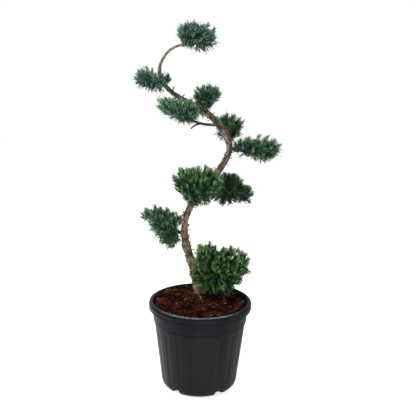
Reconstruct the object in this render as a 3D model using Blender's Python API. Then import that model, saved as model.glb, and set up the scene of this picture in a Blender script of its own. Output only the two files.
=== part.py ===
"""A potted juniper trained as an open spiral, with its foliage clipped into separate pads.

The trunk winds up anticlockwise from the middle of a plastic nursery pot. Each bough carries one
pad: a dense core of twigs with flat sprays of scale leaves standing out of it. Metres, +Z up,
the origin under the middle of the pot. -Y is the front.
"""

import math
import zlib

import bmesh
import bpy
import numpy as np
from mathutils import Vector

# ---------------------------------------------------------------- driving dimensions
CLEAR = 0.0003  # gap between two pieces that touch
POT_HEIGHT = 0.353
POT_RIM_RADIUS = 0.2035
POT_WALL = 0.003
SOIL_EDGE = 0.348  # height of the potting mix against the pot's wall
FOOT_LEVEL = 0.355  # ground level at the trunk
FOOT_X, FOOT_Y = -0.005, 0.065
AROUND = 60  # facets round the pot and the potting mix

# The trunk's bends and crossings from the ground to the tip: x, y, z and radius.
TRUNK_COURSE = (
    (FOOT_X, FOOT_Y, FOOT_LEVEL + CLEAR, 0.0165),
    (-0.030, 0.060, 0.465, 0.0160),
    (-0.065, 0.030, 0.600, 0.0150),
    (-0.065, 0.005, 0.660, 0.0120),  # first bend, to the left
    (-0.045, -0.025, 0.735, 0.0120),
    (0.015, -0.055, 0.820, 0.0115),  # crossing in front
    (0.070, -0.045, 0.895, 0.0115),
    (0.100, 0.000, 0.955, 0.0110),  # second bend, to the right
    (0.078, 0.045, 1.018, 0.0120),
    (-0.020, 0.080, 1.103, 0.0098),  # crossing behind
    (-0.112, 0.070, 1.152, 0.0080),
    (-0.165, 0.010, 1.235, 0.0070),  # third bend, to the left
    (-0.150, -0.015, 1.285, 0.0050),
    (-0.105, -0.040, 1.325, 0.0045),
    (-0.075, -0.045, 1.335, 0.0045),  # tip, where the top pad begins
)
FLARE_HEIGHT, FLARE_RADIUS = 0.025, 0.002  # how the foot spreads into its roots
FOOT_FLAT = 0.046  # radius of the level patch of potting mix under the foot
TRUNK_SIDES = 12
TRUNK_STEP = 0.027
TRUNK_PIECES = (  # name and the height where the piece ends, at a bend
    ("trunk_base", 0.660),
    ("trunk_lower_turn", 0.955),
    ("trunk_upper_turn", 1.235),
    ("trunk_leader", None),
)

# Boughs: height on the trunk, tip, radius at the root and at the tip, and sag in the middle.
BOUGHS = {
    "low_right": (0.395, (0.040, 0.035, 0.420), 0.0085, 0.0055, 0.004),
    "low_left": (0.620, (-0.105, 0.020, 0.630), 0.0070, 0.0050, 0.003),
    "middle_front": (0.745, (-0.030, -0.080, 0.780), 0.0070, 0.0050, 0.004),
    "middle_right": (0.795, (0.075, 0.005, 0.780), 0.0065, 0.0048, 0.004),
    "right": (0.960, (0.140, 0.005, 0.950), 0.0060, 0.0048, 0.001),
    "shoulder": (0.985, (0.100, 0.070, 1.000), 0.0060, 0.0045, 0.002),
    "upper_front": (1.042, (-0.055, 0.005, 1.066), 0.0060, 0.0045, 0.010),
    "upper_right": (1.090, (0.010, 0.100, 1.110), 0.0055, 0.0042, 0.001),
    "upper_left": (1.195, (-0.175, 0.020, 1.185), 0.0050, 0.0040, 0.001),
}
BOUGH_SIDES = 8
BOUGH_RINGS = 5

# Pads: the number of twigs, then the lobes that make up the pad's space. A lobe is its centre,
# its half length, half width and half height, and how far its right end dips in degrees.
PADS = {
    "low_right": (
        21,
        ((0.095, 0.010, 0.505), (0.103, 0.085, 0.063), 3),
        ((0.023, 0.020, 0.535), (0.050, 0.055, 0.050), 0),
        ((0.070, 0.010, 0.440), (0.088, 0.080, 0.057), 0),
        ((0.005, -0.010, 0.460), (0.040, 0.045, 0.050), 0),
    ),
    "low_left": (
        15,
        ((-0.156, 0.020, 0.685), (0.082, 0.050, 0.039), 7),
        ((-0.147, 0.020, 0.651), (0.062, 0.048, 0.044), 42),
        ((-0.121, 0.020, 0.606), (0.045, 0.040, 0.056), 0),
    ),
    "middle_front": (
        17,
        ((-0.039, -0.120, 0.855), (0.068, 0.055, 0.054), 0),
        ((0.020, -0.115, 0.852), (0.060, 0.055, 0.050), 4),
        ((-0.012, -0.120, 0.802), (0.060, 0.045, 0.036), -10),
    ),
    "middle_right": (
        13,
        ((0.110, 0.030, 0.827), (0.050, 0.050, 0.038), 8),
        ((0.150, 0.030, 0.785), (0.050, 0.050, 0.040), 12),
        ((0.090, 0.030, 0.778), (0.058, 0.045, 0.040), 0),
    ),
    "right": (
        16,
        ((0.226, 0.005, 0.965), (0.074, 0.056, 0.040), 5),
        ((0.155, 0.005, 0.963), (0.046, 0.045, 0.036), 0),
        ((0.230, 0.005, 0.945), (0.044, 0.040, 0.034), 0),
    ),
    "shoulder": (
        12,
        ((0.103, 0.110, 1.043), (0.054, 0.050, 0.040), 5),
        ((0.100, 0.110, 1.010), (0.044, 0.045, 0.036), 5),
    ),
    "upper_front": (
        14,
        ((-0.115, 0.000, 1.108), (0.060, 0.050, 0.038), 16),
        ((-0.060, 0.000, 1.100), (0.048, 0.042, 0.038), 8),
        ((-0.070, 0.000, 1.082), (0.048, 0.035, 0.030), 5),
    ),
    "upper_right": (
        12,
        ((0.011, 0.100, 1.156), (0.053, 0.048, 0.036), -6),
        ((0.001, 0.095, 1.123), (0.037, 0.038, 0.034), 0),
    ),
    "upper_left": (
        11,
        ((-0.212, 0.000, 1.214), (0.048, 0.045, 0.037), 10),
        ((-0.185, 0.000, 1.195), (0.045, 0.036, 0.028), 14),
    ),
    "top": (
        15,
        ((-0.026, -0.050, 1.374), (0.072, 0.060, 0.042), 10),
        ((-0.020, -0.050, 1.352), (0.061, 0.050, 0.034), 4),
    ),
}
CORE_SHARE = 0.80  # how much of the way out to a pad's outline its dense core fills
SPRAY_OVERSHOOT = 0.14  # how far past the outline a tip may stand, as a share
TWIG_REACH = 0.96  # how much of the way out a twig's end is, from which its sprays go on
# Small tufts with no core, each straight off the trunk: height on the trunk, centre and radius.
TUFTS = {
    "upper_tuft": (1.185, (-0.142, 0.030, 1.214), 0.022, 6),
    "middle_tuft": (1.100, (-0.016, 0.048, 1.095), 0.022, 6),
    "lower_tuft": (1.055, (0.048, 0.030, 1.062), 0.020, 5),
}

STEM_TIP_RADIUS = 0.0026
TWIG_RADIUS, TWIG_TIP_RADIUS = 0.0021, 0.0011
SPRAY_LENGTH = 0.040  # a flat spray of scale leaves, as one blade of eight faces
SPRAY_WIDTH = 0.0140
SPRAY_ROOT = 0.16  # the share of a spray that is sunk into its twig
SPRAY_THICKNESS = 0.0034
SPRAYS_PER_TWIG = 2
SPRAY_SPACING = 0.12  # along the twig, as a share of its length
LIFT = 0.28  # how strongly sprays turn upwards
TWIG_SAG = 0.18  # how far a twig hangs in the middle, as a share of its reach
SOIL_ROOM = 0.016  # from the potting mix to the lowest foliage
PAD_MARGIN = 0.10  # how much deeper a point lies in its own pad than in any other
LIMB_ROOM = 0.0008  # from a limb to the foliage beside it

BARK = ("bark", (0.230, 0.160, 0.110), 0.9)
LEAF = ("juniper_foliage", (0.055, 0.150, 0.060), 0.75)
PLASTIC = ("pot_plastic", (0.030, 0.032, 0.034), 0.5)
MIX = ("potting_mix", (0.080, 0.035, 0.020), 0.95)


# ---------------------------------------------------------------- shared helpers
def material(name, colour, roughness):
    """A plain material, made once for each name."""
    found = bpy.data.materials.get(name)
    if found:
        return found
    made = bpy.data.materials.new(name)
    made.use_nodes = True
    shader = made.node_tree.nodes["Principled BSDF"]
    shader.inputs["Base Color"].default_value = (*colour, 1.0)
    shader.inputs["Roughness"].default_value = roughness
    shader.inputs["Metallic"].default_value = 0.0
    return made


def new_object(name, points, faces, finish):
    """An object from points and faces, with its faces turned outwards."""
    mesh = bpy.data.meshes.new(name)
    mesh.from_pydata([tuple(map(float, p)) for p in points], [], faces)
    shape = bmesh.new()
    shape.from_mesh(mesh)
    bmesh.ops.recalc_face_normals(shape, faces=shape.faces)
    shape.to_mesh(mesh)
    shape.free()
    mesh.materials.append(material(*finish))
    made = bpy.data.objects.new(name, mesh)
    bpy.context.scene.collection.objects.link(made)
    return made


def unit(vector):
    return vector / np.linalg.norm(vector)


def apply_modifiers(obj):
    """Replaces the object's mesh by what its modifiers make of it, and removes them."""
    graph = bpy.context.evaluated_depsgraph_get()
    mesh = bpy.data.meshes.new_from_object(obj.evaluated_get(graph))
    obj.modifiers.clear()
    obj.data = mesh


def cut(obj, cutter):
    """Takes the cutter's space out of the object, and removes the cutter."""
    modifier = obj.modifiers.new("cut", "BOOLEAN")
    modifier.operation = "DIFFERENCE"
    modifier.object = cutter
    apply_modifiers(obj)
    bpy.data.objects.remove(cutter)


def smooth_course(stations, samples):
    """A natural cubic spline through the stations, spaced by chord: rows of values at the samples,
    which run from 0 to 1 along the chord length."""
    rows = np.array(stations, float)
    chord = np.linalg.norm(np.diff(rows[:, :3], axis=0), axis=1)
    knots = np.concatenate([[0], np.cumsum(chord)]) / chord.sum()
    gaps = np.diff(knots)
    count = len(rows)
    system, right = np.eye(count), np.zeros_like(rows)
    for i in range(1, count - 1):
        system[i, i - 1 : i + 2] = gaps[i - 1], 2 * (gaps[i - 1] + gaps[i]), gaps[i]
        slopes = (rows[i + 1] - rows[i]) / gaps[i] - (rows[i] - rows[i - 1]) / gaps[i - 1]
        right[i] = 6 * slopes
    bend = np.linalg.solve(system, right)
    samples = np.clip(np.asarray(samples, float), 0, 1)
    span = np.clip(np.searchsorted(knots, samples) - 1, 0, count - 2)
    wide = gaps[span][:, None]
    before, after = (knots[span + 1] - samples)[:, None], (samples - knots[span])[:, None]
    return (
        bend[span] * before**3 / (6 * wide)
        + bend[span + 1] * after**3 / (6 * wide)
        + (rows[span] / wide - bend[span] * wide / 6) * before
        + (rows[span + 1] / wide - bend[span + 1] * wide / 6) * after
    )


def tube(centres, radii, sides, turn=0.0, first_way=None, last_way=None):
    """Points and faces of a closed tube along the centres, carried without twist. Its first and
    last rings are square to first_way and last_way if those are given."""
    centres = np.asarray(centres, float)
    ahead = np.gradient(centres, axis=0)
    if first_way is not None:
        ahead[0] = first_way
    if last_way is not None:
        ahead[-1] = last_way
    ahead /= np.linalg.norm(ahead, axis=1)[:, None]
    start = np.array([1.0, 0, 0]) if abs(ahead[0][0]) < 0.9 else np.array([0, 1.0, 0])
    side = unit(np.cross(ahead[0], start))
    angles = turn + 2 * math.pi * np.arange(sides) / sides
    points = []
    for centre, radius, forward in zip(centres, radii, ahead):
        side = unit(side - forward * (side @ forward))
        other = np.cross(forward, side)
        ring = np.outer(np.cos(angles), side) + np.outer(np.sin(angles), other)
        points.extend(centre + radius * ring)
    last = len(centres) - 1
    faces = [tuple(range(sides)), tuple(last * sides + i for i in range(sides))]
    for k in range(last):
        for i in range(sides):
            j = (i + 1) % sides
            a, b = k * sides, (k + 1) * sides
            faces.append((a + i, a + j, b + j, b + i))
    return points, faces


def clear_scene():
    for obj in list(bpy.data.objects):
        bpy.data.objects.remove(obj)


# ---------------------------------------------------------------- pot
FOOT_CORNER = (0.0276, 0.1520)  # height and radius where the wall turns in to the foot
FOOT_RADIUS = 0.1195
COLLAR_HEIGHT, COLLAR_RADIUS = 0.273, 0.185
COLLAR_STEP = 0.006  # the height over which the wall steps out to the collar
WALL_TOP_RADIUS = 0.1805
LIP_DROP, LIP_ROUND = 0.0284, 0.007
FLUTES, FLUTE_DEPTH = 20, 0.0020
NOTCHES, NOTCH_WIDTH, NOTCH_HEIGHT, FIRST_NOTCH = 5, 0.036, 0.024, -38
NOTCH_BACK, NOTCH_FRONT = 0.090, 0.170  # how far from the middle a notch begins, and its cutter ends


def foot_rounding(inset):
    """The rounded corner from the foot up to the wall, as (radius, height), moved in by inset."""
    corner_height, corner_radius = FOOT_CORNER
    points = []
    for angle in (30, 60, 90):
        across, up = math.sin(math.radians(angle)), 1 - math.cos(math.radians(angle))
        radius = FOOT_RADIUS + (corner_radius - FOOT_RADIUS) * across
        points.append((radius - inset, corner_height * up + inset * (1 - up)))
    return points


def inner_profile(gap):
    """The pot's inside from the floor to the lip, moved in by the gap, as (radius, height)."""
    inset = POT_WALL + gap
    step = COLLAR_HEIGHT - COLLAR_STEP
    profile = [(0, inset), (FOOT_RADIUS - inset / 2, inset), *foot_rounding(inset)]
    profile += [(WALL_TOP_RADIUS - FLUTE_DEPTH - inset, step)]
    profile += [(COLLAR_RADIUS - inset, COLLAR_HEIGHT + gap)]
    return profile


def turned(name, profile, finish, flutes=()):
    """A closed turned solid. The profile runs from the axis round to the axis again, and the rows
    named in flutes are fluted: every third facet stands out."""
    points, faces, rings = [], [], []
    for row, (radius, height) in enumerate(profile):
        if radius == 0:
            rings.append([len(points)])
            points.append((0, 0, height))
            continue
        rings.append(list(range(len(points), len(points) + AROUND)))
        for i in range(AROUND):
            angle = 2 * math.pi * i / AROUND
            reach = radius - (FLUTE_DEPTH if row in flutes and i % (AROUND // FLUTES) else 0)
            points.append((reach * math.sin(angle), -reach * math.cos(angle), height))
    for lower, upper in zip(rings, rings[1:]):
        for i in range(AROUND):
            j = (i + 1) % AROUND
            if len(lower) == 1:
                faces.append((lower[0], upper[i], upper[j]))
            elif len(upper) == 1:
                faces.append((lower[i], lower[j], upper[0]))
            else:
                faces.append((lower[i], lower[j], upper[j], upper[i]))
    return new_object(name, points, faces, finish)


def cut_notches(obj, grow):
    """Cuts the drain notches out of the object's foot, each wider all round by grow."""
    half, top = NOTCH_WIDTH / 2 + grow, NOTCH_HEIGHT + grow
    outline = [(-half, -0.01), (half, -0.01), (half, 0.4 * top), (0.72 * half, 0.82 * top)]
    outline += [(0.3 * half, top), (-0.3 * half, top), (-0.72 * half, 0.82 * top), (-half, 0.4 * top)]
    count = len(outline)
    faces = [tuple(range(count)), tuple(range(count, 2 * count))]
    faces += [(i, (i + 1) % count, count + (i + 1) % count, count + i) for i in range(count)]
    for k in range(NOTCHES):
        angle = math.radians(FIRST_NOTCH + 360 / NOTCHES * k)
        outward = np.array([math.sin(angle), -math.cos(angle), 0])
        across = np.array([math.cos(angle), math.sin(angle), 0])
        points = []
        for reach in (NOTCH_BACK - grow, NOTCH_FRONT):
            points += [outward * reach + across * side + np.array([0, 0, up]) for side, up in outline]
        cut(obj, new_object("notch", points, faces, PLASTIC))


def make_pot():
    """The pot: a flat foot with drain notches moulded in, a fluted wall, a collar and a rolled rim."""
    lip_under, skirt = POT_HEIGHT - LIP_DROP, POT_RIM_RADIUS - POT_WALL
    lip_inside = POT_HEIGHT - LIP_ROUND - 0.001
    outer = [(0, 0), (FOOT_RADIUS, 0), *foot_rounding(0)]
    first_flute = len(outer)
    outer += [(FOOT_CORNER[1] + 0.002, FOOT_CORNER[0] + 0.020)]
    outer += [(WALL_TOP_RADIUS, COLLAR_HEIGHT - COLLAR_STEP)]
    outer += [(COLLAR_RADIUS, COLLAR_HEIGHT), (COLLAR_RADIUS + 0.002, lip_inside)]
    outer += [(skirt - 0.001, lip_inside), (skirt, lip_under)]
    outer += [(POT_RIM_RADIUS, lip_under), (POT_RIM_RADIUS, POT_HEIGHT - LIP_ROUND)]
    outer += [(POT_RIM_RADIUS - LIP_ROUND, POT_HEIGHT), (0, POT_HEIGHT)]
    pot = turned("pot", outer, PLASTIC, flutes=(first_flute, first_flute + 1))
    mouth = [(COLLAR_RADIUS - POT_WALL + 0.001, lip_inside), (COLLAR_RADIUS + 0.004, POT_HEIGHT + 0.010)]
    cavity = turned("cavity", inner_profile(0) + mouth + [(0, POT_HEIGHT + 0.010)], PLASTIC)
    cut_notches(cavity, POT_WALL)
    cut(pot, cavity)
    cut_notches(pot, 0)
    return pot


# ---------------------------------------------------------------- potting mix
def soil_height(x, y):
    """Height of the potting mix: level at the wall, mounded and flat under the trunk's foot."""
    away = math.hypot(x - FOOT_X, y - FOOT_Y)
    if away < FOOT_FLAT:
        return FOOT_LEVEL
    mound = min(1.0, 1.25 * math.exp(-((away / 0.085) ** 2)))
    ripple = 0.0016 * math.sin(61 * x + 17 * y) * math.sin(47 * y - 23 * x + 1.3)
    return SOIL_EDGE + ripple * min(1.0, away / 0.08) + (FOOT_LEVEL - SOIL_EDGE) * mound


def make_potting_mix():
    """The potting mix as one solid, clear of the pot's inner faces all round."""
    gap = 1.5 * CLEAR
    rim = COLLAR_RADIUS - POT_WALL - gap
    level = POT_HEIGHT + 0.1  # the top's rings, before each point takes its own height
    profile = inner_profile(gap) + [(r, level) for r in (rim, 0.163, 0.130, 0.096, 0.060, 0.025, 0)]
    mix = turned("potting_mix", profile, MIX)
    for vertex in mix.data.vertices:
        if vertex.co.z > POT_HEIGHT + 0.05:
            vertex.co.z = soil_height(vertex.co.x, vertex.co.y)
    cut_notches(mix, POT_WALL + gap)
    return mix


# ---------------------------------------------------------------- trunk and boughs
def trunk_samples():
    """Rows of x, y, z, radius and share of the length, dense enough to look things up in."""
    shares = np.linspace(0, 1, 1200)
    rows = smooth_course(TRUNK_COURSE, shares)
    flare = np.clip(1 - (rows[:, 2] - FOOT_LEVEL) / FLARE_HEIGHT, 0, 1) ** 2
    rows[:, 3] += FLARE_RADIUS * flare
    return np.column_stack([rows, shares])


TRUNK = trunk_samples()
TRUNK_LENGTH = float(np.linalg.norm(np.diff(TRUNK[:, :3], axis=0), axis=1).sum())


def trunk_at_height(height):
    """The trunk's row at a height: x, y, z, radius and share of the length."""
    return TRUNK[np.argmin(np.abs(TRUNK[:, 2] - height))]


def trunk_point(share):
    return np.array([np.interp(share, TRUNK[:, 4], TRUNK[:, i]) for i in range(3)])


def trunk_rows(start, end):
    """The trunk's rings between two shares of its length, evenly spaced."""
    count = max(2, round((end - start) * TRUNK_LENGTH / TRUNK_STEP) + 1)
    shares = np.linspace(start, end, count)
    return np.array([[np.interp(s, TRUNK[:, 4], TRUNK[:, i]) for i in range(4)] for s in shares])


def root_flare(points, rows):
    """Spreads the lowest rings into four shallow root ribs and levels the foot's flat cut."""
    for k in range(len(rows)):
        height = rows[k, 2] - FOOT_LEVEL
        share = max(0.0, 1 - height / FLARE_HEIGHT) ** 2
        centre = rows[k, :3]
        for i in range(TRUNK_SIDES):
            p = points[k * TRUNK_SIDES + i]
            away = p - centre
            rib = 1 + 0.16 * share * math.cos(4 * math.atan2(away[1], away[0]) + 0.6)
            points[k * TRUNK_SIDES + i] = centre + away * rib
    for i in range(TRUNK_SIDES):
        points[i][2] = FOOT_LEVEL + CLEAR


def trunk_way(share):
    """The trunk's direction at a share of its length."""
    before, after = np.clip([share - 0.002, share + 0.002], 0, 1)
    return unit(trunk_point(after) - trunk_point(before))


def trunk_pieces():
    """Each trunk piece's name, rings, and its ends' directions. They meet face to face at bends."""
    start, pieces, half_gap = 0.0, [], CLEAR / 2 / TRUNK_LENGTH
    for name, end_height in TRUNK_PIECES:
        end = 1.0 if end_height is None else trunk_at_height(end_height)[4]
        lead = half_gap if start > 0 else 0
        trail = half_gap if end < 1 else 0
        ends = trunk_way(start), trunk_way(end)
        pieces.append((name, trunk_rows(start + lead, end - trail), ends))
        start = end
    return pieces


def make_trunk():
    """The trunk's pieces as objects."""
    for k, (name, rows, ends) in enumerate(trunk_pieces()):
        points, faces = tube(rows[:, :3], rows[:, 3], TRUNK_SIDES, 0.0, *ends)
        if k == 0:
            root_flare(points, rows)
        new_object(name, points, faces, BARK).data.shade_smooth()


def bough_rows(name):
    """A bough's centre line and radii, from inside the trunk to its tip."""
    height, tip, root_radius, tip_radius, sag = BOUGHS[name]
    root = trunk_at_height(height)[:3]
    tip = np.array(tip)
    shares = np.linspace(0, 1, BOUGH_RINGS)[:, None]
    line = root + (tip - root) * shares
    line[:, 2] -= 4 * sag * (shares * (1 - shares))[:, 0]
    return line, np.linspace(root_radius, tip_radius, BOUGH_RINGS)


def make_bough(name):
    """One tapering limb, cut to sit against the trunk with the usual gap."""
    line, radii = bough_rows(name)
    bough = new_object(f"bough_{name}", *tube(line, radii, BOUGH_SIDES), BARK)
    trunk = TRUNK_RINGS
    shell = tube(trunk[:, :3], trunk[:, 3] + 1.5 * CLEAR, TRUNK_SIDES)
    cut(bough, new_object("trunk_cutter", *shell, BARK))
    bough.data.shade_smooth()
    return bough


# ---------------------------------------------------------------- the pads' spaces
TRUNK_RINGS = np.vstack([rows[min(k, 1) :] for k, (_, rows, _) in enumerate(trunk_pieces())])


def limbs():
    """Every stretch of trunk and bough as start, end and radius, to keep foliage clear of them."""
    rows = TRUNK_RINGS
    found = [(a[:3], b[:3], max(a[3], b[3])) for a, b in zip(rows, rows[1:])]
    for name in BOUGHS:
        line, radii = bough_rows(name)
        found += [(a, b, r) for a, b, r in zip(line, line[1:], radii)]
    return [np.array(column) for column in zip(*found)]


LIMB_STARTS, LIMB_ENDS, LIMB_RADII = limbs()


def limb_gaps(points):
    """How far each point is from the surface of the nearest limb."""
    along = LIMB_ENDS - LIMB_STARTS
    away = points[:, None] - LIMB_STARTS
    share = np.clip((away * along).sum(axis=2) / (along * along).sum(axis=1), 0, 1)
    return (np.linalg.norm(away - share[..., None] * along, axis=2) - LIMB_RADII).min(axis=1)


def clear_of_limbs(points, room):
    return limb_gaps(points).min() > room


def pad_depth(name, points):
    """How far out points lie in a pad: 0 in the middle of a lobe and 1 on the pad's outline."""
    if name in TUFTS:
        _, centre, radius, _ = TUFTS[name]
        return np.linalg.norm(points - np.array(centre), axis=-1) / radius
    depths = []
    for centre, halves, dip in PADS[name][1:]:
        cosine, sine = math.cos(math.radians(dip)), math.sin(math.radians(dip))
        axes = np.array([[cosine, 0, -sine], [0, 1, 0], [sine, 0, cosine]])
        depths.append(np.linalg.norm((points - np.array(centre)) @ axes.T / np.array(halves), axis=-1))
    return np.min(depths, axis=0)


def pad_centre(name):
    """The middle of a pad: the mean of its lobes' centres, by size."""
    sizes = [np.prod(halves) for _, halves, _ in PADS[name][1:]]
    return np.average([centre for centre, _, _ in PADS[name][1:]], axis=0, weights=sizes)


def in_own_space(name, points):
    """True if the points lie in the pad's space, above the soil and nearer to it than to others."""
    own = pad_depth(name, points)
    if (own > 1 + SPRAY_OVERSHOOT).any() or (points[:, 2] < SOIL_EDGE + SOIL_ROOM).any():
        return False
    for other in (*PADS, *TUFTS):
        if other != name and (pad_depth(other, points) < own + PAD_MARGIN).any():
            return False
    return True


def golden_directions(count, lowest):
    """Directions spread evenly over a sphere from straight up down to z = lowest."""
    steps = (np.arange(count) + 0.5) / count
    heights = 1 - steps * (1 - lowest)
    turns = math.pi * (3 - math.sqrt(5)) * np.arange(count)
    flat = np.sqrt(1 - heights**2)
    return np.column_stack([flat * np.cos(turns), flat * np.sin(turns), heights])


def pad_surface(name, direction, share):
    """The point at a share of the way from the pad's middle out to its outline. The direction
    belongs to a sphere, which is stretched to the pad's first lobe."""
    centre = pad_centre(name)
    way = unit(np.array(direction) * np.array(PADS[name][1][1]))
    steps = np.linspace(0, 0.20, 161)[:, None]
    inside = pad_depth(name, centre + steps * way) <= 1
    return centre + share * steps[np.flatnonzero(inside)[-1]] * way


# ---------------------------------------------------------------- twigs and sprays
def seed_of(name):
    return zlib.crc32(name.encode())


def twig_line(root, tip, steps):
    """A twig that leaves its root level and turns up towards its tip."""
    shares = np.linspace(0, 1, steps)[:, None]
    reach = np.linalg.norm(tip - root)
    bow = np.array([0, 0, -TWIG_SAG * reach])
    return root + (tip - root) * shares + bow * 4 * shares * (1 - shares)


def spray_blade(root, tip, width, thickness, roll):
    """A blade of eight faces: pointed at both ends and widest at two fifths of its length."""
    way = unit(tip - root)
    side = np.cross(way, [0, 0, 1.0])
    side = unit(side) if np.linalg.norm(side) > 0.05 else np.array([1.0, 0, 0])
    other = np.cross(way, side)
    wide = side * math.cos(roll) + other * math.sin(roll)
    thin = np.cross(way, wide)
    waist = root + 0.42 * (tip - root)
    points = [root, waist + wide * width / 2, waist + thin * thickness / 2]
    points += [waist - wide * width / 2, waist - thin * thickness / 2, tip]
    faces = [(0, 2, 1), (0, 3, 2), (0, 4, 3), (0, 1, 4)]
    faces += [(5, 1, 2), (5, 2, 3), (5, 3, 4), (5, 4, 1)]
    return points, faces


def twig_shapes(name, line, random, sprays):
    """One twig with its sprays, leaving out what would leave the space or touch a limb."""
    if not (in_own_space(name, line[1:]) and clear_of_limbs(line, TWIG_RADIUS + LIMB_ROOM)):
        return []
    radii = np.linspace(TWIG_RADIUS, TWIG_TIP_RADIUS, len(line))
    shapes = [tube(line, radii, 3, random.uniform(0, 2))]
    whole = np.linalg.norm(line[-1] - line[0])
    for k in range(sprays):
        share = 1 - SPRAY_SPACING * k
        here = np.array([np.interp(share, np.linspace(0, 1, len(line)), line[:, i]) for i in range(3)])
        ahead = unit(line[-1] - line[-2])
        spin = 2.4 * k + random.uniform(0, 1.5)
        side = unit(np.cross(ahead, [0.3, 0.2, 1.0]))
        across = side * math.cos(spin) + np.cross(ahead, side) * math.sin(spin)
        lean = 0.0 if k == 0 else random.uniform(0.6, 1.0)
        way = unit(ahead + lean * across + np.array([0, 0, LIFT]))
        length = min(SPRAY_LENGTH * random.uniform(0.75, 1.1), 0.75 * whole + 0.012)
        root = here - way * SPRAY_ROOT * length
        tip = here + way * (1 - SPRAY_ROOT) * length
        outer = pad_depth(name, tip[None])[0]
        if outer > 1 + SPRAY_OVERSHOOT:
            tip = here + (tip - here) * max(0.35, 1 - 2.2 * (outer - 1 - SPRAY_OVERSHOOT))
        probe = root + (tip - root) * np.linspace(0.3, 1, 5)[:, None]
        if not (in_own_space(name, probe) and clear_of_limbs(probe, SPRAY_WIDTH / 2 + LIMB_ROOM)):
            continue
        width = SPRAY_WIDTH * random.uniform(0.85, 1.15)
        shapes.append(spray_blade(root, tip, width, SPRAY_THICKNESS, random.uniform(0, math.pi)))
    return shapes


def core_shape(name):
    """The dense inside of a pad, as a lumpy ball that follows the pad's own space."""
    ball = bmesh.new()
    bmesh.ops.create_icosphere(ball, subdivisions=2, radius=1.0)
    random = np.random.default_rng(seed_of(name) + 7)
    for vertex in ball.verts:
        lump = CORE_SHARE * random.uniform(0.90, 1.08)
        vertex.co = Vector(pad_surface(name, np.array(vertex.co), lump))
    points = [tuple(v.co) for v in ball.verts]
    faces = [tuple(v.index for v in f.verts) for f in ball.faces]
    ball.free()
    points, faces = np.array(points), np.array(faces)
    shares = [(a, b, 1 - a - b) for a in np.linspace(0, 1, 5) for b in np.linspace(0, 1, 5)]
    shares = np.array([row for row in shares if row[2] >= 0])
    centre = points.mean(axis=0)
    for _ in range(24):
        spots = np.einsum("sk,fkc->fsc", shares, points[faces])
        near = limb_gaps(spots.reshape(-1, 3)).reshape(len(faces), -1).min(axis=1) < 0.0015
        touching = np.unique(faces[near])
        points[touching] = centre + (points[touching] - centre) * 0.93
    return points, faces.tolist()


def joined(name, shapes):
    """All shapes fused into one object by one Boolean union on a collection."""
    pieces = bpy.data.collections.new("to_join")
    bpy.context.scene.collection.children.link(pieces)
    whole = new_object(name, *shapes[0], LEAF)
    for i, shape in enumerate(shapes[1:]):
        piece = new_object(f"piece_{i}", *shape, LEAF)
        bpy.context.scene.collection.objects.unlink(piece)
        pieces.objects.link(piece)
    modifier = whole.modifiers.new("join", "BOOLEAN")
    modifier.operation = "UNION"
    modifier.operand_type = "COLLECTION"
    modifier.collection = pieces
    modifier.solver = "MANIFOLD"
    apply_modifiers(whole)
    for piece in list(pieces.objects):
        bpy.data.objects.remove(piece)
    bpy.data.collections.remove(pieces)
    drop_scraps(whole)
    return whole


def drop_scraps(obj):
    """Keeps only the largest connected body of the mesh."""
    shape = bmesh.new()
    shape.from_mesh(obj.data)
    bmesh.ops.remove_doubles(shape, verts=shape.verts, dist=1e-6)
    unseen, bodies = set(shape.verts), []
    while unseen:
        stack, body = [unseen.pop()], []
        while stack:
            vertex = stack.pop()
            body.append(vertex)
            for edge in vertex.link_edges:
                other = edge.other_vert(vertex)
                if other in unseen:
                    unseen.remove(other)
                    stack.append(other)
        bodies.append(body)
    bodies.sort(key=len)
    for body in bodies[:-1]:
        bmesh.ops.delete(shape, geom=body, context="VERTS")
    shape.to_mesh(obj.data)
    shape.free()


def stem_start(name):
    """Where a pad's stem begins: at its bough's tip or, on the top pad, at the trunk's tip."""
    if name in BOUGHS:
        line, radii = bough_rows(name)
    else:
        line, radii = TRUNK[:, :3], TRUNK[:, 3]
    ahead = unit(line[-1] - line[-2])
    return line[-1] + ahead * CLEAR, ahead, radii[-1]


def make_pad(name):
    """One pad: a stem, a core, and twigs with sprays that reach the pad's outline."""
    random = np.random.default_rng(seed_of(name))
    start, ahead, radius = stem_start(name)
    centre, count = pad_centre(name), PADS[name][0]
    stem_end = start + (centre - start) * 0.85
    shares = np.linspace(0, 1, 4)[:, None]
    reach = np.linalg.norm(stem_end - start)
    first = start + ahead * reach * shares
    second = start + (stem_end - start) * shares
    stem = first * (1 - shares) + second * shares
    shapes = [core_shape(name)]
    thickness = np.linspace(radius * 0.95, STEM_TIP_RADIUS, 4)
    shapes.append(tube(stem, thickness, 6, first_way=ahead))
    for direction in golden_directions(count, -0.62):
        tip = pad_surface(name, direction, TWIG_REACH)
        share = np.clip((tip - stem[0]) @ (stem[-1] - stem[0]) / reach**2 - 0.35, 0.25, 1)
        root = stem[0] + (stem[-1] - stem[0]) * share
        line = twig_line(root, tip, 3)
        shapes += twig_shapes(name, line, random, SPRAYS_PER_TWIG)
    return joined(f"foliage_{name}", shapes)


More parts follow.
